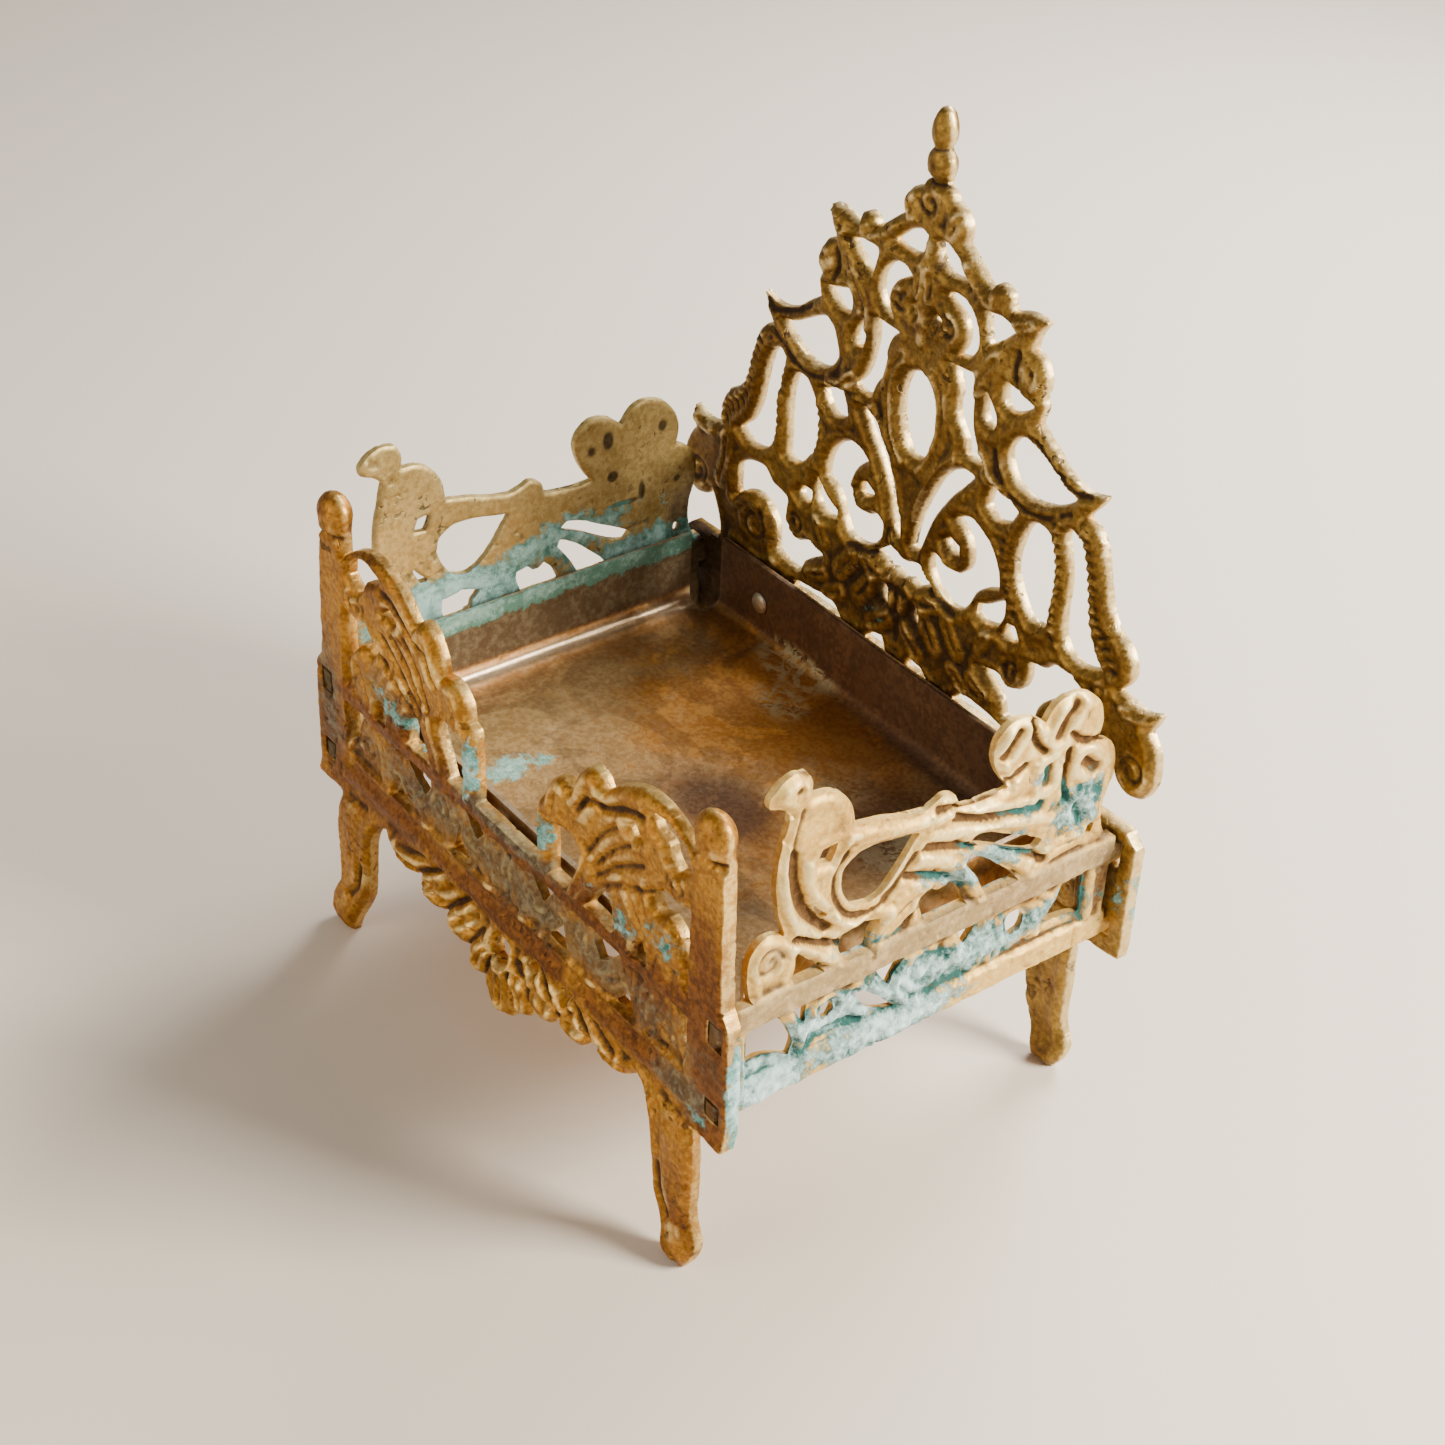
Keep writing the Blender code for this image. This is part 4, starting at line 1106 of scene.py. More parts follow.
@dataclass(frozen=True)
class Finish:
    """A tarnished brass surface.

    Attributes:
        name: Name of the material.
        body: Colour of the tarnished metal.
        worn: Colour of rubbed crests, and of the painted highlights on edges and folds.
        dark: Colour of grime in the hollows, and of the painted shade laid there.
        blush: Second cloud of tarnish.
        wear: How far rubbing and painted highlight show, 0 to 1.
        dirt: How far grime and painted shade fill the hollows, 0 to 1.
        pitting: How many casting pits there are, 0 to 1.
        pale: Palest verdigris.
        deep: Deepest verdigris.
        metallic: Metal share of clean brass.
        rub_and_glint: How far edges are painted bright, as rubbed metal and as painted highlight, 0 to 1.
        tide: How far pools and tide lines of old wet show, 0 to 1.
        speckle: How far fine dark and light flecks show, 0 to 1.
        cloudy: How unevenly the dirt lies.
        rough: Roughness of the cleanest metal.
        soot: Dark of the grime.
        dust: Light of the grime.
        relief: Strength of the casting skin's bump.
    """

    name: str
    body: Colour
    worn: Colour
    dark: Colour
    blush: Colour
    wear: float = 0.7
    dirt: float = 0.85
    pitting: float = 0.6
    pale: Colour = (0.55, 0.82, 0.84)
    deep: Colour = (0.05, 0.27, 0.25)
    metallic: float = 0.93
    rub_and_glint: float = 0.4
    tide: float = 0.0
    speckle: float = 0.4
    cloudy: float = 0.9
    rough: float = 0.32
    soot: Colour = (0.055, 0.048, 0.026)
    dust: Colour = (0.24, 0.23, 0.145)
    relief: float = 0.5

    def material(self) -> bpy.types.Material:
        """Build the material from the shared groups.

        Returns:
            The new material.
        """
        material = bpy.data.materials.new(self.name)
        material.use_nodes = True
        n = Graph(material.node_tree)
        shader = n.tree.nodes["Principled BSDF"]
        place = Wire(n, n.node("ShaderNodeTexCoord", {}).outputs["Object"])
        hollow = n.attribute("hollow")
        grain = n.group(GRAIN, {"Place": place, "Pitting": self.pitting})
        # Crest and brink carry rubbed metal and also painted highlight on rims and on the tray's left fold.
        metal = n.group(TARNISH, {
            "Place": place, "Hollow": hollow, "Pits": grain["Pits"], "Body": self.body, "Worn": self.worn,
            "Crest": n.attribute("crest").or_more(n.attribute("brink") * self.rub_and_glint), "Dark": self.dark,
            "Blush": self.blush, "Wear": self.wear, "Dirt": self.dirt, "Tide": self.tide,
            "Speckle": self.speckle, "Spots": n.attribute("spots"), "Warmth": n.attribute("warmth"),
            "Cloudy": self.cloudy, "Rough": self.rough})
        crust = n.group(CRUST, {
            "Place": place, "Mask": n.attribute("green"), "Hollow": hollow, "Grime": n.attribute("grime"),
            "Pale": self.pale, "Deep": self.deep, "Soot": self.soot, "Dust": self.dust})
        amount = crust["Amount"]
        dull = amount.or_more(metal["Dullness"] * 0.45)
        bump = n.node("ShaderNodeBump", {"Strength": self.relief, "Distance": BUMP_DISTANCE,
                                         "Height": grain["Height"] + crust["Height"] * 1.1})
        for key, wire in {"Base Color": n.mix(amount, metal["Color"], crust["Color"]),
                          "Metallic": ((1.0 - dull) * self.metallic).held(),
                          "Roughness": metal["Roughness"].or_more(amount * 0.9).held(),
                          "Normal": Wire(n, bump.outputs["Normal"])}.items():
            n.feed(shader.inputs[key], wire)
        return material


FRONT_BRASS = Finish("Warm front brass", body=(0.44, 0.215, 0.030), worn=(0.90, 0.65, 0.25),
                     dark=(0.050, 0.022, 0.007), blush=(0.185, 0.070, 0.016), wear=0.7, dirt=0.95,
                     pitting=0.9, rub_and_glint=0.65, speckle=0.45, rough=0.38, soot=(0.035, 0.031, 0.018),
                     dust=(0.22, 0.21, 0.135), metallic=0.88, relief=0.7)
HEAD_BRASS = Finish("Olive headboard brass", body=(0.30, 0.185, 0.042), worn=(0.90, 0.71, 0.36),
                    dark=(0.030, 0.013, 0.004), blush=(0.165, 0.085, 0.016), wear=0.6, dirt=0.95, pitting=1.0,
                    rub_and_glint=1.0, speckle=0.4, rough=0.38, metallic=0.88, relief=0.75)
LEFT_BRASS = Finish("Dull olive-gold brass", body=(0.54, 0.42, 0.18), worn=(0.78, 0.63, 0.32),
                    dark=(0.04, 0.022, 0.010), blush=(0.38, 0.28, 0.10), wear=0.4, dirt=0.9, pitting=0.9,
                    rub_and_glint=0.12, pale=(0.42, 0.71, 0.71), deep=(0.07, 0.21, 0.18), metallic=0.72, speckle=0.35,
                    cloudy=0.6, rough=0.42)
RIGHT_BRASS = Finish("Pale rubbed brass", body=(0.78, 0.54, 0.17), worn=(0.97, 0.81, 0.40),
                     dark=(0.095, 0.040, 0.010), blush=(0.58, 0.35, 0.09), wear=0.7, dirt=0.95, pitting=0.5,
                     rub_and_glint=0.5, pale=(0.60, 0.83, 0.85), deep=(0.015, 0.10, 0.09), metallic=0.78, speckle=0.35,
                     rough=0.48, soot=(0.16, 0.11, 0.06), dust=(0.38, 0.28, 0.165))
TRAY_BRASS = Finish("Stained sheet brass", body=(0.62, 0.41, 0.20), worn=(0.93, 0.80, 0.62),
                    dark=(0.085, 0.042, 0.026), blush=(0.60, 0.29, 0.075), wear=0.6, dirt=0.9, pitting=0.35,
                    pale=(0.46, 0.72, 0.70), deep=(0.11, 0.27, 0.22), metallic=0.86, tide=0.65, speckle=0.35,
                    cloudy=0.7, rough=0.28, soot=(0.11, 0.083, 0.046), dust=(0.23, 0.19, 0.115), relief=0.3)
RIVET_METAL = Finish("Dull rivet metal", body=(0.62, 0.60, 0.56), worn=(0.85, 0.84, 0.80),
                     dark=(0.16, 0.13, 0.10), blush=(0.50, 0.47, 0.42), wear=0.6, dirt=0.5, pitting=0.2)


# ---------------------------------------------------------------------- the castings' relief

Shape = tuple[Stroke, ...]


def bead(width: float, height: float, *points: Point) -> Shape:
    """A rounded ridge."""
    return (Stroke(Tool.BEAD, points, width, height),)


def groove(width: float, depth: float, *points: Point) -> Shape:
    """A rounded furrow."""
    return (Stroke(Tool.GROOVE, points, width, depth),)


def rope(width: float, height: float, *points: Point) -> Shape:
    """A notched bar."""
    return (Stroke(Tool.ROPE, points, width, height),)


def petal(width: float, *points: Point, cut: float = 0.75) -> Shape:
    """A raised petal with a furrow down its middle."""
    return bead(width, 0.55, *points) + groove(0.42 * width, cut, *points)


def leaf(width: float, *points: Point) -> Shape:
    """A raised leaf with a fine vein."""
    return bead(width, 0.5, *points) + groove(0.3, 0.5, *points)


def spiral(radius: float, start: float, sweep: float, centre: Point) -> Shape:
    """A scroll's eye: a boss with a spiral furrow and a pricked middle.

    Args:
        radius: Radius of the boss.
        start: First angle of the furrow.
        sweep: Angle that the furrow covers.
        centre: Middle of the boss.

    Returns:
        The strokes.
    """
    furrow = ring(centre, 0.72 * radius, start, sweep, 0.4 * radius)
    return bead(radius, 0.5, centre) + groove(0.2 * radius + 0.1, 0.7, *furrow) \
        + groove(0.26 * radius, 0.7, centre)


def alone(*shapes: Shape) -> Shape:
    """The strokes of several shapes."""
    return tuple(stroke for shape in shapes for stroke in shape)


def paired(*shapes: Shape) -> Shape:
    """The strokes of several shapes, and the same on the other side of the middle line."""
    strokes = alone(*shapes)
    return strokes + tuple(stroke.mirrored() for stroke in strokes)


FRONT_STROKES = (*paired(
    bead(1.1, 0.4, (9.1, 44.0), (9.1, 53.4)),
    bead(2.2, 0.4, (40.2, 22.6), (40.6, 15.0), (40.8, 8.6), (42.4, 3.4)), bead(2.2, 0.35, (42.6, 5.0)),
    groove(0.75, 0.9, (16.8, 57.6), (19.3, 60.6), (22.8, 61.4), (26.5, 63.5), (30.6, 65.0)),
    groove(0.6, 0.7, (19.0, 52.0), (21.8, 56.6), (25.4, 60.2)),
    groove(0.6, 0.7, (20.4, 50.8), (24.0, 55.4), (28.4, 59.2)),
    groove(0.6, 0.7, (21.4, 50.0), (25.6, 54.0), (31.0, 57.6)),
    groove(0.6, 0.7, (22.4, 49.0), (27.0, 52.2), (32.6, 54.6)),
    groove(0.5, 0.9, (14.6, 27.2), (18.4, 25.2), (22.0, 22.8)),
    groove(0.5, 0.9, (8.4, 26.8), (11.4, 24.0), (14.1, 21.2)),
    groove(0.5, 0.9, (4.4, 24.0), (6.6, 21.2), (8.1, 18.9)),
    groove(0.5, 0.9, (2.2, 20.6), (3.2, 18.4), (4.0, 16.0)),
    groove(0.7, 0.7, (37.6, 13.6), (38.6, 9.6), (40.6, 6.6)), groove(0.5, 0.5, (36.6, 24.6), (43.0, 24.2)),
    groove(0.6, 0.7, (41.2, 67.9), (46.8, 67.9)), leaf(2.5, (17.6, 58.4), (19.6, 62.6)),
    leaf(2.2, (11.6, 54.6), (12.4, 58.0)), leaf(2.9, (34.4, 44.2), (35.6, 47.4), (38.0, 50.2)),
    leaf(2.6, (28.8, 44.0), (27.6, 48.0), (26.0, 51.2)), leaf(1.8, (31.4, 48.8), (28.8, 52.2)),
    leaf(1.6, (16.6, 44.4), (18.4, 48.2), (19.6, 51.2)), leaf(1.7, (33.4, 39.6), (31.8, 36.8), (31.6, 33.2)),
    leaf(1.3, (28.6, 40.0), (29.0, 36.4)), leaf(1.6, (26.6, 36.2), (23.4, 34.2), (20.4, 32.6)),
    leaf(1.1, (15.0, 40.2), (13.4, 38.0)), leaf(1.5, (9.4, 35.4), (6.6, 34.0), (4.2, 32.4)),
    leaf(1.7, (4.0, 40.2), (3.8, 37.0), (2.0, 33.6)), petal(1.9, (19.4, 26.6), (26.8, 24.2)),
    petal(1.8, (11.8, 26.4), (18.4, 22.8)), petal(1.6, (6.4, 25.4), (11.2, 20.8)),
    petal(1.3, (3.6, 21.6), (5.8, 17.6)), spiral(2.9, 200, -420, (37.9, 59.0)),
    spiral(2.3, 20, 400, (36.4, 35.2)), spiral(2.6, 60, 400, (17.0, 36.6))), *alone(
    bead(1.3, 0.55, (-42.0, 28.3), (42.0, 28.3)), bead(2.0, 0.7, (0.0, 36.8)),
    bead(0.7, 0.5, *ring((0.0, 23.6), 2.9)), groove(0.5, 0.35, (-42.0, 30.6), (42.0, 30.6)),
    groove(0.4, 0.6, (0.0, 33.2), (0.0, 39.4)), petal(1.4, (0.0, 19.4), (0.0, 14.4))))

HEAD_STROKES = (*paired(
    bead(2.2, 0.55, (21.0, 101.6)), groove(0.7, 0.8, (21.4, 102.3)),
    groove(0.5, 0.6, (18.8, 104.4), (18.2, 101.6), (19.0, 99.0)),
    groove(0.55, 0.7, (23.6, 93.4), (27.4, 91.0), (31.4, 89.5), (34.0, 90.2)),
    groove(0.55, 0.6, (16.2, 88.4), (17.4, 85.4), (21.0, 83.2), (26.0, 83.2), (31.4, 86.4)),
    groove(0.45, 0.6, (3.4, 67.0), (4.2, 63.4), (7.2, 61.0), (11.6, 60.2)),
    rope(1.9, 0.3, (33.8, 84.6), (35.8, 80.5), (36.6, 76.5), (38.2, 72.4), (40.8, 69.6), (42.2, 67.2)),
    rope(1.4, 0.28, (28.9, 84.5), (29.6, 80.0), (30.3, 75.6), (30.2, 71.0), (30.6, 67.2)),
    rope(1.2, 0.22, (20.4, 79.0), (20.0, 75.0), (21.2, 70.4), (23.4, 66.6)),
    leaf(1.5, (4.2, 115.2), (5.2, 117.6)), leaf(1.7, (8.0, 111.6), (12.6, 109.0)),
    leaf(1.1, (1.4, 104.6), (0.8, 108.2)), leaf(1.5, (15.0, 101.6), (12.6, 98.6), (11.6, 95.8)),
    leaf(1.0, (17.8, 107.4), (20.4, 108.8)),
    leaf(1.3, (3.2, 94.6), (5.4, 91.4), (5.6, 87.0), (4.8, 82.4), (2.4, 78.6)),
    leaf(1.2, (13.6, 86.6), (16.0, 84.0), (18.6, 83.6)),
    leaf(1.0, (8.6, 83.6), (6.2, 80.4), (3.6, 75.8), (2.2, 70.8)), leaf(1.2, (45.4, 63.4), (48.6, 64.4)),
    leaf(1.6, (41.0, 64.4), (41.4, 60.4), (42.2, 56.4)), leaf(1.5, (2.4, 60.0), (4.8, 58.6), (7.6, 59.6)),
    leaf(1.9, (6.0, 56.6), (8.4, 53.2)), leaf(1.8, (10.6, 58.2), (13.0, 55.0)),
    leaf(1.6, (2.0, 52.6), (5.2, 50.2)), leaf(1.5, (12.4, 51.6), (15.4, 50.0)),
    leaf(1.4, (17.0, 58.0), (18.8, 60.6)), leaf(1.3, (16.4, 52.6), (19.6, 51.2)),
    leaf(1.5, (38.4, 47.6), (33.0, 46.8), (28.6, 48.0)), spiral(2.3, 120, 420, (5.0, 102.0)),
    spiral(2.3, 0, -420, (10.0, 69.4)), spiral(3.6, 120, 460, (33.8, 52.5)),
    spiral(2.3, 30, 400, (24.0, 57.4)), spiral(3.1, 200, -420, (48.2, 55.4))), *alone(
    bead(1.2, 0.5, (0.0, 112.0), (0.0, 107.0), (0.0, 98.0)), bead(2.0, 0.7, (0.0, 56.4)),
    bead(1.1, 0.3, (-42.0, 44.4), (42.0, 44.4)), groove(0.5, 0.6, (-1.6, 120.6), (1.6, 120.6)),
    groove(0.5, 0.6, (-1.6, 125.4), (1.6, 125.4)), groove(0.4, 0.6, (0.0, 50.0), (0.0, 58.6)),
    spiral(2.9, 90, 330, (-0.8, 117.5))))

SIDE_STROKES = alone(
    bead(0.9, 0.45, (9.4, 62.0), (10.4, 57.4), (12.8, 53.4), (15.6, 50.6)),
    bead(0.8, 0.45, (13.2, 62.6), (14.0, 58.8), (16.2, 54.6), (18.6, 52.0), (21.6, 50.4), (25.4, 51.2)),
    bead(2.4, 0.5, (10.2, 75.0)), bead(1.0, 0.4, (19.6, 64.2), (24.0, 62.9), (29.0, 61.8), (33.0, 61.8)),
    bead(0.95, 0.5, (34.0, 61.0), (38.6, 61.6), (41.4, 59.8), (46.0, 58.0), (50.4, 57.0)),
    bead(0.9, 0.5, (33.4, 58.6), (40.0, 56.8), (46.0, 55.8), (54.0, 52.8)),
    bead(0.95, 0.5, (31.8, 55.4), (36.4, 53.2), (39.8, 49.6), (43.4, 45.8)),
    bead(1.0, 0.5, (11.2, 50.6), (15.2, 48.0), (19.2, 45.4)),
    bead(1.0, 0.5, (10.6, 41.0), (12.6, 37.6), (14.2, 34.2)),
    bead(1.0, 0.5, (22.4, 40.6), (25.0, 37.4), (30.8, 32.8)),
    groove(1.05, 1.7, (11.2, 64.6), (11.5, 60.4), (12.9, 56.6), (14.8, 53.6), (17.0, 51.4)),
    groove(0.5, 0.6, (11.8, 71.6), (11.2, 68.4), (11.0, 65.6)),
    groove(0.6, 1.1, (19.2, 61.8), (17.9, 59.0), (18.0, 55.6), (20.2, 52.0), (24.0, 50.9), (27.4, 52.6),
           (31.0, 56.8)),
    groove(0.6, 0.8, (10.8, 75.3)), groove(0.75, 1.5, (34.0, 62.4), (38.8, 61.2), (44.0, 61.6), (48.6, 63.0)),
    groove(0.75, 1.6, (37.4, 59.8), (43.6, 57.4), (52.0, 55.6)),
    groove(0.65, 1.5, (32.6, 57.0), (37.6, 55.2), (41.0, 53.6)),
    groove(0.6, 1.3, (29.8, 53.8), (33.6, 52.2), (37.0, 50.4)),
    groove(0.65, 1.6, (42.0, 50.2), (45.6, 47.6), (48.6, 45.6)),
    groove(0.65, 1.6, (45.6, 52.0), (50.0, 49.0), (53.6, 46.4)),
    groove(0.6, 1.5, (49.0, 70.2), (50.0, 66.4), (52.0, 64.2)),
    groove(0.6, 1.5, (56.4, 62.6), (56.2, 58.6), (56.6, 54.8)),
    groove(0.55, 1.3, (62.4, 62.6), (58.6, 63.4), (56.2, 65.6)),
    groove(0.55, 1.3, (12.0, 51.8), (16.4, 49.4), (20.0, 47.6)), groove(0.6, 1.1, (29.6, 45.4), (31.6, 47.6)),
    groove(0.7, 1.4, (15.4, 33.6), (19.6, 34.0), (23.6, 33.0)),
    leaf(2.3, (25.0, 45.6), (28.2, 48.6), (32.0, 50.6)), leaf(1.3, (42.6, 45.4), (40.8, 48.6), (39.2, 51.2)),
    leaf(1.6, (51.6, 45.8), (55.4, 47.2), (59.0, 47.4)), leaf(1.3, (30.4, 35.4), (32.6, 33.0)),
    leaf(1.6, (38.8, 39.2), (41.0, 35.4), (43.6, 33.2)), leaf(1.7, (45.4, 39.4), (46.8, 36.0), (46.4, 33.0)),
    leaf(1.5, (53.6, 39.8), (55.6, 37.6), (53.6, 34.0)), petal(2.7, (44.4, 66.6), (46.6, 69.2), cut=1.6),
    petal(3.1, (54.2, 66.0), (56.2, 70.0), cut=1.6), petal(2.7, (52.6, 59.4), (52.8, 61.2), cut=1.6),
    petal(2.8, (59.4, 59.8), (61.2, 58.2), cut=1.6), petal(3.0, (58.8, 52.6), (59.8, 50.4), cut=1.6),
    spiral(2.9, 10, 400, (8.0, 49.8)), spiral(2.9, 200, 420, (18.0, 37.3)),
    spiral(3.4, 40, 440, (34.4, 36.4)))


class Side(Enum):
    """Which side casting, by the direction in which it faces."""

    LEFT = -1
    RIGHT = 1


def front_casting() -> Casting:
    """The front casting with its wings, frieze, fan and legs."""
    return Casting(
        node="front_panel", name="front_casting", facing=Facing.FRONT, slot="front_brass",
        strokes=FRONT_STROKES,
        plain=((41.8, 50.2, 24.0, 66.4), (-50.2, -41.8, 24.0, 66.4), (-42, 42, 41.0, 43.2),
               (-42, 42, 26.4, 31.2)),
        turned=(Turned((40.4, 47.9, 67.6, 74.5), 3.2, 2.25), Turned((-47.9, -40.4, 67.6, 74.5), 3.2, 2.25)),
        sunk=((-40.6, 40.6, 32.0, 40.4, 0.6),),
        green=spots((50.8, 33.0, 1.0, 11.0, 1.5), (44.0, 26.6, 5.0, 1.6, 0.5), (9.0, 48.0, 2.4, 6.0, 0.75),
                    (-9.0, 48.0, 2.4, 7.0, 0.85), (24.0, 47.0, 9.0, 4.6, 0.55), (36.0, 48.0, 5.0, 5.0, 0.6),
                    (-28.0, 47.0, 9.0, 5.0, 0.6), (-12.0, 36.0, 14.0, 4.0, 0.45),
                    (18.0, 36.0, 12.0, 3.6, 0.4)),
        green_back=spots((26.0, 48.0, 12.0, 6.0, 0.8), (-26.0, 48.0, 14.0, 7.0, 0.85),
                         (50.6, 33.0, 1.6, 11.0, 1.5)),
        rust=spots((0.0, 42.6, 60.0, 2.4, 1.5), (0.0, 29.0, 60.0, 1.8, 1.0), (46.5, 40.0, 5.0, 16.0, 1.3),
                   (-46.5, 34.0, 5.0, 12.0, 1.2)),
        gold=spots((0.0, 20.0, 30.0, 7.0, 1.6), (0.0, 60.0, 48.0, 8.0, 0.8)),
        grime=spots((0.0, 36.0, 60.0, 5.4, 0.85), (-46.0, 40.0, 4.0, 16.0, 0.7),
                    (-30.0, 48.0, 14.0, 5.0, 0.6), (42.0, 29.0, 8.0, 4.0, 0.9), (0.0, 43.8, 16.0, 1.8, 1.2)),
        # shade: painted shade on the two end plates, at the joints with the side panels.
        shade=spots((47.0, 37.0, 2.6, 4.6, 0.35), (-46.6, 36.0, 4.0, 12.0, 0.4)),
        round_over=1.6, shoulder=1.1, pitch=0.33, seed=11, sooty=0.6)


def back_casting() -> Casting:
    """The tall headboard with its rails, plates and legs."""
    return Casting(
        node="back_panel", name="headboard_casting", facing=Facing.FRONT, slot="back_brass",
        strokes=HEAD_STROKES,
        plain=((43.0, 52.0, 24.8, 45.4), (-52.0, -43.0, 24.8, 45.4), (-44, 44, 40.0, 46.2),
               (-44, 44, 24.8, 32.2)),
        turned=(Turned((-3.0, 3.0, 121.0, 131.6), 2.1, 1.7),),
        green=spots((50.0, 36.0, 3.0, 8.0, 0.5), (-8.0, 52.0, 9.0, 5.0, 0.4)),
        green_back=spots((50.0, 36.0, 4.0, 9.0, 0.6), (-44.0, 40.0, 7.0, 9.0, 0.5)),
        grime=spots((0.0, 54.0, 22.0, 7.0, 0.35), (0.0, 36.0, 60.0, 8.0, 0.5)),
        # shade: painted shade in the corner behind the tray's notch at the left and in the right side panel's
        # shadow, and a weaker darkening across the middle.
        shade=spots((-46.0, 40.0, 8.0, 9.0, 1.4), (43.6, 37.0, 3.6, 9.0, 1.0), (0.0, 55.0, 30.0, 6.0, 0.45)),
        round_over=1.5, shoulder=1.15, pitch=0.37, seed=23)


# Painted shade in the mortise slots round the side tenons.
TENONS = ((0.0, 29.3, 2.4, 3.4, 1.7), (0.0, 41.5, 2.4, 3.8, 1.7))    # dark spots round the side tenons


def side_casting(side: Side) -> Casting:
    """A peacock side casting: the right one pale and crusted low down, the left one dull and blue-green.

    Args:
        side: Which of the two.

    Returns:
        The casting, ready to build.
    """
    if side is Side.RIGHT:
        node, facing, name = "right_side_panel", Facing.RIGHT, "right_peacock_casting"
        green = spots((30.0, 36.0, 36.0, 4.0, 1.1), (9.0, 31.0, 7.0, 5.5, 1.35),
                      (27.0, 30.4, 18.0, 3.6, 1.05), (50.0, 56.0, 11.0, 3.0, 0.56),
                      (58.5, 53.0, 7.0, 5.5, 0.95), (60.0, 36.0, 6.0, 6.0, 0.7), (51.6, 61.0, 3.4, 3.0, 0.62),
                      (24.0, 46.6, 9.0, 2.4, 0.62), (43.0, 50.5, 13.0, 4.0, 0.92),
                      (42.0, 62.6, 6.0, 1.4, 0.45))
        green_back = spots((34.0, 44.0, 40.0, 6.0, 0.7))
        grime = spots((34.0, 43.0, 60.0, 2.6, 1.35), (8.0, 50.0, 4.0, 4.0, 0.6), (46.0, 50.0, 16.0, 5.0, 0.5),
                      (58.0, 57.0, 6.0, 6.0, 0.42))
        # shade: painted shade in the tenon slots and at the rear end by the headboard; the small spots deepen
        # the verdigris in the frieze holes, as patina and as painted shade.
        shade = spots(*TENONS, (65.0, 38.0, 3.0, 7.0, 0.9), (14.0, 37.4, 1.5, 1.2, 1.2),
                      (22.4, 35.2, 1.6, 1.2, 1.1), (29.0, 38.6, 1.4, 1.2, 1.3), (38.4, 37.4, 1.4, 1.4, 1.2),
                      (47.6, 36.4, 1.6, 1.3, 1.2), (8.6, 34.6, 1.6, 1.2, 0.9))
        # shade_back: painted shade at the rear end and in the tenon slots.
        shade_back = spots((66.0, 40.0, 5.0, 9.0, 1.1), *TENONS)
    else:
        node, facing, name = "left_side_panel", Facing.LEFT, "left_peacock_casting"
        green = spots((34.0, 38.0, 36.0, 6.0, 0.6))
        green_back = spots((20.0, 48.6, 18.0, 5.4, 1.25), (42.0, 52.6, 16.0, 4.4, 1.0),
                           (54.0, 47.0, 16.0, 4.0, 0.95))
        grime = spots((34.0, 36.0, 40.0, 6.0, 0.6))
        shade = spots(*TENONS)
        # shade_back: painted shade in the tenon slots and at the rear end behind the headboard, and small
        # dark pits.
        shade_back = spots(*TENONS, (66.5, 40.0, 5.5, 9.5, 1.3), (63.6, 50.0, 4.4, 6.0, 0.9),
                           (48.6, 67.0, 0.8, 1.3, 1.7), (49.6, 60.6, 0.8, 0.8, 1.7),
                           (58.6, 66.6, 0.6, 0.8, 1.5), (45.6, 66.0, 0.8, 0.9, 0.9),
                           (52.0, 55.4, 2.6, 0.4, 1.3), (55.0, 56.6, 0.5, 1.5, 1.3),
                           (61.6, 56.6, 0.5, 0.5, 1.4))
    return Casting(
        node=node, name=name, facing=facing, slot=node.replace("panel", "brass"), strokes=SIDE_STROKES,
        plain=((-1.0, 71.0, 41.0, 44.8), (-1.0, 71.0, 27.6, 32.0)),
        sunk=((-1.0, 71.0, 45.2, 80.0, 0.55), (5.0, 62.4, 32.2, 40.6, 0.8)),
        green=green, green_back=green_back, grime=grime, shade=shade, shade_back=shade_back, origin=34.1,
        round_over=1.5, shoulder=1.15, pitch=0.28, seed=37 + side.value, proud=(0.9, 0.0, 0.0))


# ----------------------------------------------------------------------------- tray and rivets

